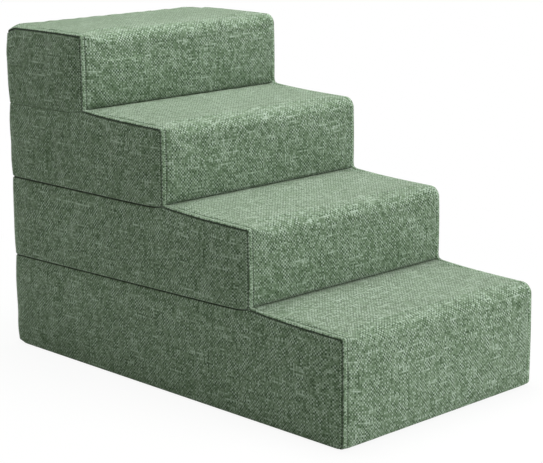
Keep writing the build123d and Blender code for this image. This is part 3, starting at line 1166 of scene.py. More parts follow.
    def profile(self, run: np.ndarray, beside: np.ndarray, hand: np.ndarray) -> tuple[np.ndarray, ...]:
        """The plain profile over riser, nose and tread.

        Args:
            run: How far up the cloth from the riser's foot.
            beside: The distance from the nearer side seam.
            hand: -1 for the left seam and 1 for the right one.

        Returns:
            The place along X, the height, and the outward direction's X and Z.
        """
        layer = self.layer
        radius = self.radius(beside, hand)
        shoulder, nose = layer.level - radius, layer.front - radius
        rise = np.clip(run / self.upright, 0, 1)
        turn = np.clip((run - self.upright) / self.bend, 0, 1) * math.pi / 2
        back = np.clip((run - self.upright - self.bend) / self.level_run, 0, 1)
        step = self.slope_step
        z = self.foot + rise * (shoulder - self.foot)
        x = layer.front + self.riser_bulge(z, beside, hand)
        lean = self.riser_bulge(z + step, beside, hand) - self.riser_bulge(z - step, beside, hand)
        lean = lean / (2 * step)
        across, up = np.ones_like(lean), -lean
        bent = turn > 0
        x = np.where(bent, nose + radius * np.cos(turn), x)
        z = np.where(bent, shoulder + radius * np.sin(turn), z)
        across, up = np.where(bent, np.cos(turn), across), np.where(bent, np.sin(turn), up)
        on_tread = back > 0
        place = nose - (nose - layer.tread_rear) * back
        slope = (self.tread_height(place - step, beside, hand)
                 - self.tread_height(place + step, beside, hand))
        x = np.where(on_tread, place, x)
        z = np.where(on_tread, self.tread_height(place, beside, hand), z)
        across = np.where(on_tread, slope / (2 * step), across)
        up = np.where(on_tread, 1.0, up)
        long = np.hypot(across, up)
        return x, z, across / long, up / long

    def ends(self, run: np.ndarray, beside: np.ndarray, hand: np.ndarray) -> np.ndarray:
        """Height of the cloth near the riser's foot and the tread's rear edge, where its seams are."""
        inner = ease(*self.welt_range, beside)
        flare = np.where(hand < 0, *self.flares)
        above = run - self.layer.foot + self.foot
        before = self.total - run - self.stairs.cloth
        if self.layer.place == 1:
            roll = np.clip(self.hem_radius - run, 0, self.hem_radius)
            height = np.sqrt(self.hem_radius ** 2 - roll ** 2) - self.hem_radius
        else:
            height = flare * fade(above, self.flare_reach) * (1 - inner)
            height = height - self.riser_tuck * fade(above, self.tuck_reach) * inner
        if not self.layer.is_top:
            height = height + flare * fade(before, self.flare_reach) * (1 - inner)
            height = height - self.tread_tuck * fade(before, self.tuck_reach) * inner
        return height

    def surface(self, over: np.ndarray, run: np.ndarray) -> Lie:
        """The cloth's outer face.

        Args:
            over: How far over the cloth from its left edge.
            run: How far up the cloth from the riser's foot.

        Returns:
            How the cloth lies at each place.
        """
        over, run = np.broadcast_arrays(over, run)
        hand = np.where(over < self.width / 2, -1.0, 1.0)
        edge = np.minimum(over, self.width - over)
        beside, _ = WELT.lay(edge)
        y = hand * (self.stairs.seam_half - beside)
        travel = self.travel(run, hand) - self.travel(self.first_stitch, hand)
        if self.layer.is_top:
            from_rear = self.total - run
            near = round_corner(edge, from_rear, WELT.runs[-1])[2]
            back, _ = WELT.lay(from_rear)
            x, z, across, up = self.profile(self.flat_total - back, beside, hand)
            x, y = self.turn_rear_corner(x, y, hand, edge, from_rear)
            z = z - self.rear_droop(x, y)
            travel = np.where(from_rear < edge, over - WELT.reach(self.stitch_row), travel)
        else:
            near = edge
            x, z, across, up = self.profile(run, beside, hand)
        distance, proud = WELT.lay(near)
        pull = self.stitching.pull(distance - self.groove_row, travel)
        ends = self.ends(run, beside, hand)
        height = proud - self.stitch_dimple * pull + ends
        crease = self.shading(near, distance, proud + ends, pull, hand, self.stitching.pull(0.0, travel))
        rippled = self.ripples.at(run + self.layer.place, over)
        height = height + rippled * ease(0, self.ripple_reach, distance)
        past = np.maximum(distance - self.pucker_range[1], 0)
        beside_welt = np.exp(-past / self.pucker_fade) * ease(*self.pucker_range, distance)
        height = height + self.puckers.at(run, over + self.layer.place) * beside_welt
        if self.risen is not None:
            height = height + self.risen(over, run)
        z = z + self.raised(beside, run)
        points = np.stack([x + across * height, y, z + up * height], axis=-1)
        return Lie(points, np.stack([across, np.zeros_like(x), up], axis=-1), crease)

    def raised(self, away: np.ndarray, up: np.ndarray) -> np.ndarray:
        """How far the first layer's lower edge is raised off the floor near a corner."""
        if self.layer.place > 1:
            return np.zeros_like(away)
        share = fade(away, self.corner_reach) * np.clip(1 - up / (2 * self.corner_reach), 0, 1)
        return self.corner_lift * share

    def shading(self, near: np.ndarray, distance: np.ndarray, height: np.ndarray, pull: np.ndarray,
                hand: np.ndarray, through: np.ndarray) -> np.ndarray:
        """How much painted shade the cloth takes, from -1 for a painted highlight on the welt's crest to 1
        in the seams.

        Args:
            near: How much cloth there is to the nearer welt's edge.
            distance: How far that is along the surface.
            height: The height above the plain surface.
            pull: How far the stitches pull the cloth down.
            hand: -1 on the left and 1 on the right.
            through: 1 where a stitch beside the place goes through the cloth, and 0 between.

        Returns:
            The painted shade at each place.
        """
        # Painted shade in the seam, at the riser's foot, in the groove and the stitch holes, less a painted
        # highlight on the welt's crest.
        seam = 1 - ease(*(WELT.runs[point] for point in self.seam_shade_points), near)
        inner = self.foot_shade * shade_by_depth(height) * ease(*self.welt_range, distance)
        past = near - WELT.reach(0.0)
        crest = bell(past - self.crest_row, np.where(hand < 0, *self.crest_widths))
        crest = crest * np.where(hand < 0, *self.crest_shares) * (1 - self.crest_beads * through)
        groove = self.groove_shade * bell(distance - self.groove_row, self.groove_reach)
        sewn = np.maximum(groove, self.hole_shade * pull) * np.where(hand < 0, *self.sewn_shares)
        dark = np.maximum(np.maximum(seam, inner), sewn)
        return dark - crest * np.clip(1 - dark / self.crest_limit, 0, 1)

    def rear_droop(self, x: np.ndarray, y: np.ndarray) -> np.ndarray:
        """How far the top panel's rear corners hang down, at a place seen from above."""
        away = np.hypot(x - self.layer.tread_rear, self.stairs.seam_half - np.abs(y))
        return self.droop_at(away)

    def droop_at(self, away: np.ndarray) -> np.ndarray:
        """How far the top panel's edge sinks at a distance from the middle of its rear corner."""
        rounded = np.hypot(away, self.droop_round) - self.droop_round
        return self.droop * fade(rounded, self.droop_reach)

    @property
    def first_stitch(self) -> float:
        """Where the topstitching starts, up the cloth from the riser's foot."""
        on_floor, on_tread = self.stitch_starts
        return on_floor if self.layer.place == 1 else self.tuck_under + on_tread

    def turn_rear_corner(self, x: np.ndarray, y: np.ndarray, hand: np.ndarray, edge: np.ndarray,
                         from_rear: np.ndarray) -> tuple[np.ndarray, np.ndarray]:
        """Rounds the top panel's two rear corners, seen from above.

        Args:
            x: Places along X.
            y: Places along Y.
            hand: -1 on the left and 1 on the right.
            edge: How far each point is from the nearer side edge, along the cloth.
            from_rear: How far each point is from the rear edge, along the cloth.

        Returns:
            The places along X and Y after rounding.
        """
        corner, radius = WELT.runs[-1], WELT.inward[-1]
        inside = (edge < corner) & (from_rear < corner)
        in_edge, in_rear, near = round_corner(edge, from_rear, corner)
        spoke = radius - WELT.lay(near)[0]
        turn = np.arctan2(corner - in_rear, corner - in_edge)
        x = np.where(inside, self.layer.tread_rear + radius - spoke * np.sin(turn), x)
        y = np.where(inside, hand * (self.stairs.seam_half - radius + spoke * np.cos(turn)), y)
        return x, y

    def settle(self) -> None:
        """Lets the cloth between the seams settle, and keeps how far it rose."""
        margin = self.settle_margin
        over = np.linspace(margin, self.width - margin, round(self.width / self.settle_pitch))
        run = np.linspace(margin / 2, self.total - margin / 2, round(self.total / self.settle_pitch))
        self.risen = self.settling.reader(self.surface, over, run)

    def build(self) -> bpy.types.Object:
        """Builds the panel, and its two rows of topstitching as a piece of their own."""
        self.settle()
        over = stations(WELT.runs, WELT.runs, self.width, self.column_pitch)
        rear_edge = WELT.runs if self.layer.is_top else [0.0]
        nose = np.linspace(self.upright, self.upright + self.bend, self.nose_rows)
        riser = np.linspace(0, self.upright, round(self.upright / self.row_pitch))[:-1]
        tread = stations([0.0], rear_edge, self.total - nose[-1], self.row_pitch)[1:] + nose[-1]
        run = np.concatenate([riser, nose, tread])
        lie = self.surface(over[None, :], run[:, None])
        chart = self.chart(lie.points, over, run)
        bm = cloth_grid(lie.points, Vector((1, 0, 1)), chart, lie.crease)
        piece = finish_mesh(bm, f"{self.layer.name}_step_cloth", self.finishes.cover)
        add_wall(piece, self.stairs.cloth)
        dress(piece, [f"{self.layer.name}_step_panel"])
        f"{self.layer.name}_foam"
        self.topstitch()
        return piece

    def chart(self, points: np.ndarray, over: np.ndarray, run: np.ndarray) -> np.ndarray:
        """Where each point lies on the flat cloth, measured from the middle of the nose."""
        steps = np.linalg.norm(np.diff(points, axis=0), axis=2)
        travel = np.concatenate([np.zeros((1, len(over))), np.cumsum(steps, axis=0)])
        nose = int(np.argmin(np.abs(run - self.upright - self.bend / 2)))
        travel = travel - travel[nose]
        return np.stack([np.broadcast_to(over, travel.shape), travel + self.layer.place], axis=-1)

    def topstitch(self) -> bpy.types.Object:
        """Sews a row at the inner edge of each welt."""
        bm = bmesh.new()
        groove = WELT.reach(self.stitch_row)
        last = self.total - (groove if self.layer.is_top else self.stitch_end)
        run = np.arange(self.first_stitch, last, STITCH_STEP)
        for over, hand in ((groove, -1.0), (self.width - groove, 1.0)):
            self.stitching.sew(bm, self.surface(over, run), self.travel(run, hand))
        if self.layer.is_top:
            over = np.arange(groove, self.width - groove, STITCH_STEP)
            self.stitching.sew(bm, self.surface(over, self.total - groove), over)
        piece = finish_mesh(bm, f"{self.layer.name}_step_stitching", self.finishes.thread)
        return dress(piece)


# The belts round the sides and the back


@dataclass(frozen=True)
class ZipHollow:
    """The shallow hollow in the back where the zip lies, and the opening between the belts there."""

    depth: float = 10.0 * MM
    floor_half: float = 17.0 * MM
    ramp: float = 28.0 * MM
    end_ramp: float = 12.0 * MM
    end_room: float = 2.0 * MM  # past the tapes' ends
    opening_half: float = 6.5 * MM
    closed_half: float = 0.35 * MM
    closing: float = 9.0 * MM

    @property
    def ends(self) -> tuple[float, float]:
        """The lowest and highest places of the zip's tapes."""
        low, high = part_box("zip_tape_left")
        return low.z, high.z

    def sunk(self, y: np.ndarray, z: np.ndarray) -> np.ndarray:
        """How deep the back is drawn in at each place."""
        low, high = self.ends
        across = ease(0.0, self.ramp, self.floor_half + self.ramp - np.abs(y))
        low, high = low - self.end_room, high + self.end_room
        up, down = ease(low - self.end_ramp, low, z), ease(-high - self.end_ramp, -high, -z)
        return self.depth * across * up * down

    def opening(self, z: np.ndarray) -> np.ndarray:
        """Half the width between the belt edges, which close above and below the zip."""
        low, high = self.ends
        wide = ease(low - self.closing / 2, low + self.closing / 2, z)
        wide = wide * ease(-high - self.closing / 2, -high + self.closing / 2, -z)
        return self.closed_half + (self.opening_half - self.closed_half) * wide


@dataclass
class SideBelt:
    """The cloth on one side of a layer, from its riser round the rear corner to the zip."""

    stairs: Stairs
    panels: Sequence[StepPanel]
    place: int
    side: Side
    finishes: Finishes
    hollow: ZipHollow = ZipHollow()
    seam_drop: float = 2.6 * MM  # from a step panel's plain surface to the seam beside it
    least_corner: float = 0.5 * MM  # the smallest radius of the upper front corner
    corner_radius: float = 11.0 * MM
    crown_flatness: float = 3.0
    corner_crown_share: float = 0.6  # of the side's crown, at the rear corner
    corner_fill: float = 1.0  # how much less the edge beside the step panel sinks at the rear corner
    lean_reach: float = 14.0 * MM
    floor_corner: float = 2.0 * MM
    front_draw: float = 50.0 * MM
    floor_gap: float = 0.8 * MM
    seam_rise_reach: float = 14.0 * MM
    seam_dip: float = 0.5 * MM
    seam_dip_from: float = 17.0 * MM
    seam_dip_reach: float = 11.0 * MM
    seam_sags: tuple[float, ...] = (9.0 * MM, 1.0 * MM, 1.5 * MM)  # of the layer seams, at the rear
    edge_reach: float = 10.0 * MM
    tread_pitch: float = 2.0 * MM
    column_pitch: float = 8.0 * MM
    back_pitch: float = 5.6 * MM
    bend_columns: int = 9
    row_pitch: float = 7.0 * MM
    settle_pitch: float = 12.0 * MM
    settle_margin: float = 7.0 * MM
    settle_end: float = 60.0 * MM  # from the zip, where the cloth is held
    flat_samples: int = 400  # along the belt, for the height of the flat cloth
    groove: float = 2.8 * MM
    stitch_dimple: float = 0.25 * MM
    # painted shade in the stitch holes
    hole_shade: float = 0.5
    edge_shade: tuple[float, float] = (0.2 * MM, 0.6 * MM)  # where the painted shade at the welt's edge ends
    tread_blend: tuple[float, float] = (-3.0 * MM, 1.0 * MM)  # where the layer seam gives way to the tread
    first_stitch: float = 3.0 * MM  # above the belt's lower edge
    end_room: float = 2.0 * MM  # from the belt's edges to the ends of its rows
    zip_groove: float = 3.4 * MM
    zip_calm: float = 30.0 * MM  # over which the layer seams fade beside the zip
    zip_seam_share: float = 0.15  # of a layer seam's depth there
    # Of the corner's arc, from its middle: how far the filled edge goes, and where it has ended
    corner_ease_shares: tuple[float, float] = (0.5, 1.3)
    ripples: Ripples = Ripples(0.1 * MM, 18 * MM, 70 * MM, seed=5)
    ripple_reach: float = 25.0 * MM
    puckers: Ripples = Ripples(0.2 * MM, 8 * MM, 24 * MM, seed=31)
    pucker_range: tuple[float, float] = (1.0 * MM, 5.0 * MM)
    pucker_fade: float = 8.0 * MM
    settling: Settling = Settling(pressure=0.9, slack=0.01)
    stitching: Stitching = Stitching(thread_width=0.9 * MM, thread_height=0.6 * MM)

    def __post_init__(self) -> None:
        """Works out the lengths of the belt's straight, corner and back."""
        stairs = self.stairs
        self.panel = self.panels[self.place - 1]
        self.layer = self.panel.layer
        self.flare = self.panel.flares[self.side is Side.RIGHT]
        seam_radius = self.panel.seam_radii[self.side is Side.RIGHT]
        self.nose_corner = max(seam_radius - self.seam_drop, self.least_corner)
        self.front = self.layer.front - self.seam_drop
        self.back = stairs.rear + stairs.back_crown
        self.straight = self.front - self.back - self.corner_radius
        self.arc = self.corner_radius * math.pi / 2
        self.back_run = stairs.seam_half - self.corner_radius - self.hollow.opening_half
        self.length = self.straight + self.arc + self.back_run
        self.low_level = self.floor_gap if self.place == 1 else self.panels[self.place - 2].layer.level
        self.height = self.layer.level - self.seam_drop * self.layer.is_top - self.low_level
        self.risen: Callable | None = None

    def from_corner(self, along: np.ndarray) -> np.ndarray:
        """How far a place along the belt is from the middle of its rear corner."""
        return np.abs(along - self.straight - self.arc / 2)

    @property
    def name(self) -> str:
        """The side and layer, as in the solids' names."""
        return f"{self.side.name.lower()}_{self.layer.name}_belt"

    def corner_under(self, place: int) -> float:
        """Where that layer's belt meets the riser above it, along X."""
        return self.panels[place].layer.front - self.seam_drop

    @property
    def tread_end(self) -> float:
        """How far along the belt its tread ends, at the riser above it or for the top belt at the zip."""
        return self.length if self.layer.is_top else self.front - self.corner_under(self.place)

    def seam_depth(self, place: int) -> float:
        """How deep the seam above the belt of that layer is drawn in, as a share."""
        return (SeamDepth.PLAIN, SeamDepth.DEEP, SeamDepth.FAINT)[place - 1].value

    def layer_seam(self, place: int, x: np.ndarray) -> np.ndarray:
        """Height of the seam between that layer's belt and the one above, behind the riser above it."""
        layer, corner = self.panels[place - 1].layer, self.corner_under(place)
        behind = np.maximum(corner - x, 0)
        rise = layer.lift - self.seam_drop + self.flare
        risen = np.exp(-behind / self.seam_rise_reach)
        dip = bell(behind - self.seam_dip_from, self.seam_dip_reach) * (1 - risen) * self.seam_depth(place)
        sag = self.seam_sags[place - 1] * np.clip(behind / (corner - self.stairs.rear), 0, 1)
        return layer.level + rise * risen - self.seam_dip * dip - sag

    def upper_edge(self, x: np.ndarray) -> np.ndarray:
        """Height of the belt's upper edge."""
        tread = self.panel.tread_height(x, np.zeros_like(x), self.side.value) - self.seam_drop
        if self.layer.is_top:
            return tread
        tread = tread + self.flare * fade(x - self.panels[self.place].layer.front, self.panel.flare_reach)
        return np.where(x > self.corner_under(self.place), tread, self.layer_seam(self.place, x))

    def lower_edge(self, x: np.ndarray) -> np.ndarray:
        """Height of the belt's lower edge."""
        if self.place == 1:
            return np.full_like(x, self.floor_gap)
        return self.layer_seam(self.place - 1, x)

    def surface(self, run: np.ndarray, up: np.ndarray) -> Lie:
        """The belt's outer face.

        Args:
            run: How far along the belt from its riser.
            up: How far up the belt from its lower edge.

        Returns:
            How the cloth lies at each place.
        """
        run, up = np.broadcast_arrays(run, up)
        along, down, near = round_corner(run, self.height - up, self.nose_corner)
        up = self.height - down
        if self.place == 1:
            along, up, _ = round_corner(along, up, self.floor_corner)
            down = self.height - up
        x = self.front - along
        low, high = self.lower_edge(x), self.upper_edge(x)
        middle = np.clip((up - self.edge_reach) / (self.height - 2 * self.edge_reach), 0, 1)
        if self.layer.is_top:
            high = high - self.panel.droop_at(self.from_corner(along))
        z = low + up + middle * (high - low - self.height)
        away = np.maximum(self.from_corner(along) - self.arc / 2, 0)
        z = z + self.panel.raised(np.minimum(along, away), up)
        x = x + self.panel.riser_bulge(z, 0.0, self.side.value) * (1 - ease(0, self.front_draw, along))
        if self.place > 1:
            lean = fade(z - self.low_level, self.panel.flare_reach)
            x = x + self.flare * lean * (1 - ease(0, self.lean_reach, along))
        turn = np.clip((along - self.straight) / self.arc, 0, 1) * math.pi / 2
        on_back = np.maximum(along - self.straight - self.arc, 0) / self.back_run
        reach = self.stairs.seam_half - self.corner_radius
        across, beside = -np.sin(turn), -np.cos(turn)
        y = -reach + self.corner_radius * beside + on_back * (reach - self.hollow.opening(z))
        x = np.where(turn > 0, self.back + self.corner_radius * (1 + across), x)
        height, crease = self.relief(along, up, down, near, x, y, z, turn, on_back)
        points = np.stack([x + across * height, y + beside * height, z], axis=-1)
        outward = np.stack([across, beside, np.zeros_like(x)], axis=-1)
        mirror = np.array([1.0, -self.side.value, 1.0])
        return Lie(points * mirror, outward * mirror, crease)

    def relief(self, along: np.ndarray, up: np.ndarray, down: np.ndarray, near: np.ndarray, x: np.ndarray,
               y: np.ndarray, z: np.ndarray, turn: np.ndarray,
               on_back: np.ndarray) -> tuple[np.ndarray, np.ndarray]:
        """How far the belt stands off the plane of its seams.

        Args:
            along: Distances from the front edge.
            up: Distances from the lower edge.
            down: Distances from the upper edge.
            near: Distances from the edge beside the step panel.
            x: Places along X.
            y: Places along Y.
            z: Heights.
            turn: How far round the rear corner, as an angle.
            on_back: How far along the back, from 0 to 1.

        Returns:
            The height at each place, and how much painted shade it takes.
        """
        stairs = self.stairs
        to_corner = np.minimum(np.abs(along - self.straight), np.abs(along - self.straight - self.arc))
        to_corner = np.where((turn > 0) & (on_back <= 0), 0.0, to_corner)
        crown = np.where(on_back > 0, stairs.back_crown, stairs.side_crown)
        crown = crown * (self.corner_crown_share
                         + (1 - self.corner_crown_share) * ease(0, self.front_draw, to_corner))
        height = crown * arch(up / self.height, self.crown_flatness) * ease(0, self.front_draw, along)
        hollow_half = self.hollow.floor_half + self.hollow.ramp
        in_hollow = on_back * ease(0, self.zip_calm, hollow_half - np.abs(y))
        seam_share = 1 - (1 - self.zip_seam_share) * in_hollow
        inner, outer = (self.arc * share for share in self.corner_ease_shares)
        tight = 1 - self.corner_fill * ease(outer, inner, self.from_corner(along))
        beside_tread, seam = np.ones_like(x), np.zeros_like(x)
        if not self.layer.is_top:
            beside_tread = ease(*self.tread_blend, x - self.corner_under(self.place))
            seam = LAYER_SEAM.height(down) * self.seam_depth(self.place) * seam_share * (1 - beside_tread)
        to_welt = np.where((down < along) & (beside_tread < 0.5), along, near)
        beside_welt = BELT_EDGE.height(to_welt) * tight
        if self.place == 1:
            below = HEM.height(up)
        else:
            below = LAYER_SEAM.height(up) * self.seam_depth(self.place - 1) * seam_share
        zip_edge = ZIP_EDGE.height((1 - on_back) * self.back_run)
        zip_edge = np.where(on_back > 0, zip_edge, 0.0)
        edges = np.stack([seam, beside_welt, below, zip_edge])
        travel = np.where(along < down, up - self.first_stitch, along)
        pull = self.stitching.pull(to_welt - self.groove, travel)
        height = height + edges.min(axis=0) + np.maximum(edges.max(axis=0), 0) - self.stitch_dimple * pull
        # Painted shade in the seams, the hem, the zip's fold and the stitch holes, and along the welt's
        # edge.
        crease = np.maximum(shade_by_depth(edges[[0, 2, 3]].min(axis=0)), self.hole_shade * pull)
        crease = np.maximum(crease, (1 - ease(*self.edge_shade, to_welt)) * tight)
        clear = np.minimum(np.minimum(along, up), np.minimum(down, self.length - along))
        height = height + self.ripples.at(along, z) * ease(0, self.ripple_reach, clear)
        past = np.maximum(to_welt - self.groove, 0)
        beside_seam = np.exp(-past / self.pucker_fade) * ease(*self.pucker_range, to_welt)
        height = height + self.puckers.at(along, z) * beside_seam * (1 - in_hollow)
        if self.risen is not None:
            height = height + self.risen(along, up)
        return height - self.hollow.sunk(y, z) * np.where(on_back > 0, 1.0, 0.0), crease

    def settle(self) -> None:
        """Lets the cloth between the seams settle, and keeps how far it rose."""
        margin = self.settle_margin
        run = np.linspace(margin, self.length - margin, round(self.length / self.settle_pitch))
        up = np.linspace(margin, self.height - margin, round(self.height / self.settle_pitch) + 1)
        self.risen = self.settling.reader(self.surface, run, up, self.length - self.settle_end)

    def columns(self) -> np.ndarray:
        """Places of the mesh's columns, close together beside the tread."""
        tread_end = min(self.tread_end, self.straight)
        tread = stations(BELT_EDGE.inward, [0.0], tread_end, self.tread_pitch)
        count = round((self.straight - tread_end) / self.column_pitch) + 2
        side = np.linspace(tread_end, self.straight, count)
        bend = np.linspace(self.straight, self.straight + self.arc, self.bend_columns)
        back = stations([0.0], ZIP_EDGE.inward, self.back_run, self.back_pitch) + bend[-1]
        return np.unique(np.round(np.concatenate([tread, side, bend, back]), 6))

    def build(self) -> bpy.types.Object:
        """Builds the belt, and its topstitching as a piece of its own."""
        self.settle()
        run = self.columns()
        upper = BELT_EDGE.inward + (() if self.layer.is_top else LAYER_SEAM.inward[1:-1])
        lower = HEM.inward if self.place == 1 else LAYER_SEAM.inward
        up = np.unique(np.round(stations(lower, sorted(upper), self.height, self.row_pitch), 6))
        lie = self.surface(run[None, :], up[:, None])
        chart = np.stack(np.broadcast_arrays(run[None, :] * self.side.value, up[:, None] + self.low_level),
                         axis=-1)
        bm = cloth_grid(lie.points, Vector((-0.2, self.side.value, 0)), chart, lie.crease)
        piece = finish_mesh(bm, f"{self.name}_cloth", self.finishes.cover)
        add_wall(piece, self.stairs.cloth)
        dress(piece, [self.name])
        x = self.front - np.linspace(0.0, self.length, self.flat_samples)
        tall = self.upper_edge(x) - self.lower_edge(x)
        f"{self.layer.name}_foam"
        self.topstitch()
        return piece

    def topstitch(self) -> bpy.types.Object:
        """Sews a row beside the step panel, and one along the zip."""
        bm = bmesh.new()
        upward = np.arange(self.first_stitch, self.height - self.groove, STITCH_STEP)
        rearward = np.arange(0.0, min(self.tread_end, self.length - self.end_room), STITCH_STEP)
        at_zip = np.arange(self.end_room, self.height - self.end_room, STITCH_STEP)
        for run, up, travel in ((self.groove, upward, upward),
                                (np.maximum(rearward, self.groove), self.height - self.groove, rearward),
                                (self.length - self.zip_groove, at_zip, at_zip)):
            self.stitching.sew(bm, self.surface(run, up), travel)
        piece = finish_mesh(bm, f"{self.name}_stitching", self.finishes.thread)
        return dress(piece)


# Inside and underneath


def round_edges(bm: bmesh.types.BMesh, edges: Sequence[bmesh.types.BMEdge], radius: float,
                segments: int) -> None:
    """Rounds edges off with a bevel."""
    bmesh.ops.bevel(bm, geom=edges, offset=radius, offset_type="OFFSET", segments=segments, profile=0.5,
                    affect="EDGES", material=-1)


@dataclass
class FoamSlab:
    """One slab of the foam core, a little smaller than the cover round it."""

    layer: Layer
    finishes: Finishes
    inset: float = 1.8 * MM
    floor_share: float = 0.25  # of the inset, under the base slab
    front_inset: float = 2.0 * MM  # more, behind the riser
    nose_radius: float = 14.0 * MM
    edge_radius: float = 5.0 * MM
    sharp_angle: float = math.radians(50)  # between two faces that meet in an edge to round
    long_edge: float = 25.0 * MM  # past which an edge is cut up
    seam_draw: float = 5.6 * MM  # how far the sides pull in at the slab's top and bottom
    flatness: float = 3.0  # how flat the sides are between these
    rear_power: int = 4  # how closely the draw and the hollow keep to the back
    cuts: int = 17
    hollow: ZipHollow = ZipHollow()
    hollow_room: float = 6.5 * MM

    def build(self) -> bpy.types.Object:
        """Builds the slab as a crowned block with rounded edges."""
        node = ("base" if self.layer.place == 1 else self.layer.name) + "_foam_slab"
        low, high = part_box(node)
        under = 0.0 if self.layer.place > 1 else self.inset * self.floor_share
        low = low + Vector((self.inset, self.inset, under))
        high = high - Vector((self.inset, self.inset, self.inset))
        high.x -= self.front_inset
        size = high - low
        bm = bmesh.new()
        bmesh.ops.create_cube(bm, size=1.0, matrix=Matrix.Translation((low + high) / 2)
                              @ Matrix.Diagonal((*size, 1.0)))
        nose = [e for e in bm.edges if all(v.co.x > low.x + size.x / 2 and v.co.z > low.z + size.z / 2
                                           for v in e.verts)]
        round_edges(bm, nose, self.nose_radius, 6)
        sharp = [e for e in bm.edges if e.calc_face_angle(0.0) > self.sharp_angle]
        round_edges(bm, sharp, self.edge_radius, 3)
        long = [e for e in bm.edges if e.calc_length() > self.long_edge]
        bmesh.ops.subdivide_edges(bm, edges=long, cuts=self.cuts, use_grid_fill=True)
        self.swell(bm, low, high)
        bmesh.ops.recalc_face_normals(bm, faces=bm.faces[:])
        piece = finish_mesh(bm, f"{self.layer.name}_foam", self.finishes.foam)
        dress(piece, [node])
        return piece

    def swell(self, bm: bmesh.types.BMesh, low: Vector, high: Vector) -> None:
        """Draws the sides and the back in at the slab's top and bottom, and sinks the zip's hollow."""
        middle = (low.y + high.y) / 2
        half = (high.y - low.y) / 2
        for vertex in bm.verts:
            level = (vertex.co.z - low.z) / (high.z - low.z)
            drawn = self.seam_draw * (1 - float(arch(np.array(level), self.flatness)))
            rearward = 1 - (vertex.co.x - low.x) / (high.x - low.x)
            sunk = float(self.hollow.sunk(np.array(vertex.co.y), np.array(vertex.co.z)))
            room = self.hollow_room if sunk > 0 else 0.0
            vertex.co.y -= drawn * (vertex.co.y - middle) / half
            vertex.co.x += (drawn + sunk + room) * rearward ** self.rear_power


@dataclass
class Underside:
    """The anti-slip cloth underneath, with its moulded dots."""

    finishes: Finishes
    edge_inset: float = 3.6 * MM
    rear_radius: float = 9.0 * MM
    front_radius: float = 3.0 * MM
    rim_lift: float = 1.8 * MM  # where the cloth is sewn to the belts, off the floor
    rim_reach: float = 9.0 * MM
    rim_rows: tuple[float, ...] = (0.0, 1 * MM, 2 * MM, 4 * MM, 7 * MM, 10 * MM)  # from each edge
    dot_height: float = 0.4 * MM
    dot_radius: float = 2.1 * MM
    dot_foot_share: float = 0.7  # of that radius, where a dot meets the floor
    dot_pitch: float = 15.0 * MM
    dot_margin: float = 14.0 * MM
    pitch: float = 9.0 * MM

    def build(self) -> bpy.types.Object:
        """Builds the cloth."""
        low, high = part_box("base_panel")
        low_x, high_x = low.x + self.edge_inset, high.x - self.edge_inset
        half = high.y - self.edge_inset
        along = stations(self.rim_rows, self.rim_rows, high_x - low_x, self.pitch)
        over = stations(self.rim_rows, self.rim_rows, 2 * half, self.pitch)
        run, side = np.broadcast_arrays(along[None, :], over[:, None])
        edge = np.minimum(side, 2 * half - side)
        from_front = high_x - low_x - run
        rear_run, rear_edge, _ = round_corner(run, edge, self.rear_radius)
        front_run, front_edge, _ = round_corner(from_front, edge, self.front_radius)
        front_half = run > (high_x - low_x) / 2
        x = np.where(front_half, high_x - front_run, low_x + rear_run)
        inward = np.where(front_half, front_edge, rear_edge)
        y = np.where(side < half, inward - half, half - inward)
        near = np.minimum(np.where(front_half, front_run, rear_run), inward)
        z = self.dot_height + self.rim_lift * (1 - ease(0, self.rim_reach, near))
        points = np.stack([x, y, z], axis=-1)
        bm = cloth_grid(points, Vector((0, 0, -1)), np.stack([x, y], axis=-1))
        piece = finish_mesh(bm, "base_cloth", self.finishes.grip)
        add_wall(piece, high.z - self.dot_height)
        dress(piece, ["base_panel"])
        self.dots(Vector((low_x, -half, 0)), Vector((high_x, half, 0)))
        return piece

    def dots(self, low: Vector, high: Vector) -> bpy.types.Object:
        """Moulds staggered rows of dots on the cloth, within its margin."""
        bm = bmesh.new()
        room = high - low - 2 * Vector((self.dot_margin, self.dot_margin, 0))
        rows, columns = round(room.y / self.dot_pitch), round(room.x / self.dot_pitch)
        for row in range(rows + 1):
            stagger = 0.5 * (row % 2)
            for column in range(columns + 1 - row % 2):
                middle = Vector((low.x + self.dot_margin + room.x * (column + stagger) / columns,
                                 low.y + self.dot_margin + room.y * row / rows, self.dot_height / 2))
                bmesh.ops.create_cone(bm, cap_ends=True, segments=10, depth=self.dot_height,
                                      radius1=self.dot_radius * self.dot_foot_share,
                                      radius2=self.dot_radius, matrix=Matrix.Translation(middle))
        return dress(finish_mesh(bm, "base_grip_dots", self.finishes.rubber))


@dataclass
class Zip:
    """The zip's own solids, in their finishes."""

    finishes: Finishes

    def dress(self) -> None:
        """Gives each solid its material."""
        worn = ((self.finishes.tape, ("tape_left", "tape_right")),
                (self.finishes.teeth, ("teeth_left", "teeth_right", "lower_stops", "upper_stop")),
                (self.finishes.metal, ("slider", "pull")))
        for material, names in worn:
            for name in names:
                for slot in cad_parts[f"zip_{name}"].material_slots:
                    slot.material = material
                log.info("zip_%s: %s", name, material.name)


# Studio


@dataclass(frozen=True)
class Lamp:
    """A soft square lamp that looks at the stairs."""

    name: str
    place: tuple[float, float, float]
    size: float
    power: float

    def light(self, target: Vector) -> bpy.types.Object:
        """Sets the lamp up."""
        data = bpy.data.lights.new(self.name, "AREA")
        data.shape = "SQUARE"
        data.size = self.size
        data.energy = self.power
        lamp = bpy.data.objects.new(self.name, data)
        lamp.location = self.place
        lamp.rotation_euler = (target - Vector(self.place)).to_track_quat("-Z", "Y").to_euler()
        bpy.context.scene.collection.objects.link(lamp)
        return lamp


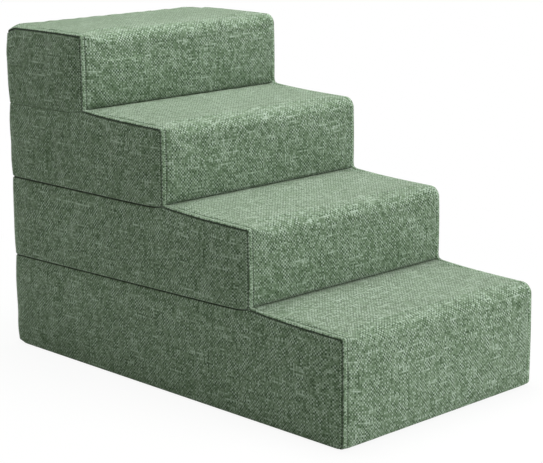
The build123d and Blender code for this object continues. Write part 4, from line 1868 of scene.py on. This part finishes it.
@dataclass
class Studio:
    """A white floor and surroundings, soft lamps, and the camera at the photograph's angle."""

    image_width: int = 543
    focal_length_px: float = 1740.8
    sensor: float = 36.0
    azimuth: float = math.radians(45.897)
    elevation: float = math.radians(13.155)
    roll: float = math.radians(-0.398)
    camera_place: tuple[float, float, float] = (1.6688, -1.5974, 0.7266)
    floor_size: float = 14.0
    surround: float = 0.295
    surround_tint: Colour = (0.98, 1.06, 0.88, 1)
    shadow_share: float = 0.08
    shadow_reach: float = 0.9  # from the middle of the stairs to where the floor is all white
    floor_colour: Colour = (0.6, 0.6, 0.6, 1)
    seen_floor_colour: Colour = (0.86, 0.86, 0.86, 1)
    lamps: tuple[Lamp, ...] = (Lamp("key lamp", (-0.1, 0.1, 1.9), 1.2, 38.0),
                               Lamp("front lamp", (1.75, 0.4, 0.26), 1.0, 20.0))
    lamp_target: tuple[float, float, float] = (0.0, 0.0, 0.2)

    def build(self) -> None:
        """Builds the floor, the surroundings, the lamps and the camera."""
        scene = bpy.context.scene
        scene.view_settings.view_transform = "Standard"
        self.build_world()
        self.build_floor()
        for lamp in self.lamps:
            lamp.light(Vector(self.lamp_target))
        self.build_camera()
        log.info("studio: %d lamps", len(self.lamps))

    def seen_directly(self, graph: Graph) -> bpy.types.NodeSocket:
        """1 for what the camera sees directly, or in a mirror or through glass."""
        path = graph.node("ShaderNodeLightPath").outputs
        seen = graph.math("MAXIMUM", path["Is Camera Ray"], path["Is Glossy Ray"])
        return graph.math("MAXIMUM", seen, path["Is Transmission Ray"])

    def build_world(self) -> None:
        """White where it is seen, and a plain soft light everywhere else."""
        world = bpy.data.worlds.new("studio")
        graph = clear_graph(world)
        background = graph.node("ShaderNodeBackground")
        seen = self.seen_directly(graph)
        graph.wire(graph.blend(seen, self.surround_tint, (1, 1, 1, 1)), background.inputs["Color"])
        graph.wire(graph.math("MULTIPLY_ADD", seen, 1 - self.surround, self.surround),
                   background.inputs["Strength"])
        graph.wire(background.outputs[0], graph.node("ShaderNodeOutputWorld").inputs["Surface"])
        bpy.context.scene.world = world

    def build_floor(self) -> None:
        """A pale floor that looks white and keeps a soft shadow."""
        bm = bmesh.new()
        bmesh.ops.create_grid(bm, x_segments=1, y_segments=1, size=self.floor_size / 2)
        material = bpy.data.materials.new("pale floor")
        graph = clear_graph(material)
        matte = graph.node("ShaderNodeBsdfDiffuse")
        seen = self.seen_directly(graph)
        graph.wire(graph.blend(seen, self.floor_colour, self.seen_floor_colour), matte.inputs["Color"])
        white = graph.node("ShaderNodeEmission")
        mix = graph.node("ShaderNodeMixShader")
        away = graph.node("ShaderNodeVectorMath", operation="LENGTH")
        graph.wire(graph.node("ShaderNodeTexCoord").outputs["Object"], away.inputs[0])
        whiteness = graph.remap(away.outputs["Value"], self.shadow_reach / 2, self.shadow_reach,
                                1 - self.shadow_share, 1.0)
        for source, target in zip((graph.times(seen, whiteness), matte.outputs[0], white.outputs[0]),
                                  mix.inputs):
            graph.wire(source, target)
        graph.wire(mix.outputs[0], graph.node("ShaderNodeOutputMaterial").inputs["Surface"])
        floor = finish_mesh(bm, "floor", material)

    def build_camera(self) -> None:
        """The camera, turned as the photograph's was."""
        data = bpy.data.cameras.new("camera")
        data.sensor_fit = "HORIZONTAL"
        data.sensor_width = self.sensor
        data.lens = self.focal_length_px / self.image_width * self.sensor
        level = math.cos(self.elevation)
        back = Vector((math.sin(self.azimuth) * level, -math.cos(self.azimuth) * level,
                       math.sin(self.elevation)))
        right = Vector((math.cos(self.azimuth), math.sin(self.azimuth), 0))
        up = back.cross(right)
        turned_right = right * math.cos(self.roll) + up * math.sin(self.roll)
        turned_up = up * math.cos(self.roll) - right * math.sin(self.roll)
        camera = bpy.data.objects.new("camera", data)
        axes = Matrix((turned_right, turned_up, back)).transposed().to_4x4()
        camera.matrix_world = Matrix.Translation(self.camera_place) @ axes
        bpy.context.scene.collection.objects.link(camera)
        bpy.context.scene.camera = camera


def main() -> None:
    """Builds the studio, and then the stairs from the inside out."""
    logging.basicConfig(level=logging.INFO, format="%(message)s")
    Studio().build()
    stairs, finishes = Stairs(), Finishes.make()
    panels = [StepPanel(stairs, layer, finishes) for layer in stairs.layers]
    for layer in stairs.layers:
        FoamSlab(layer, finishes).build()
    Underside(finishes).build()
    for panel in panels:
        panel.build()
    for place in range(1, len(LAYER_NAMES) + 1):
        for side in Side:
            SideBelt(stairs, panels, place, side, finishes).build()
    Zip(finishes).dress()


if __name__ == "__main__":
    main()
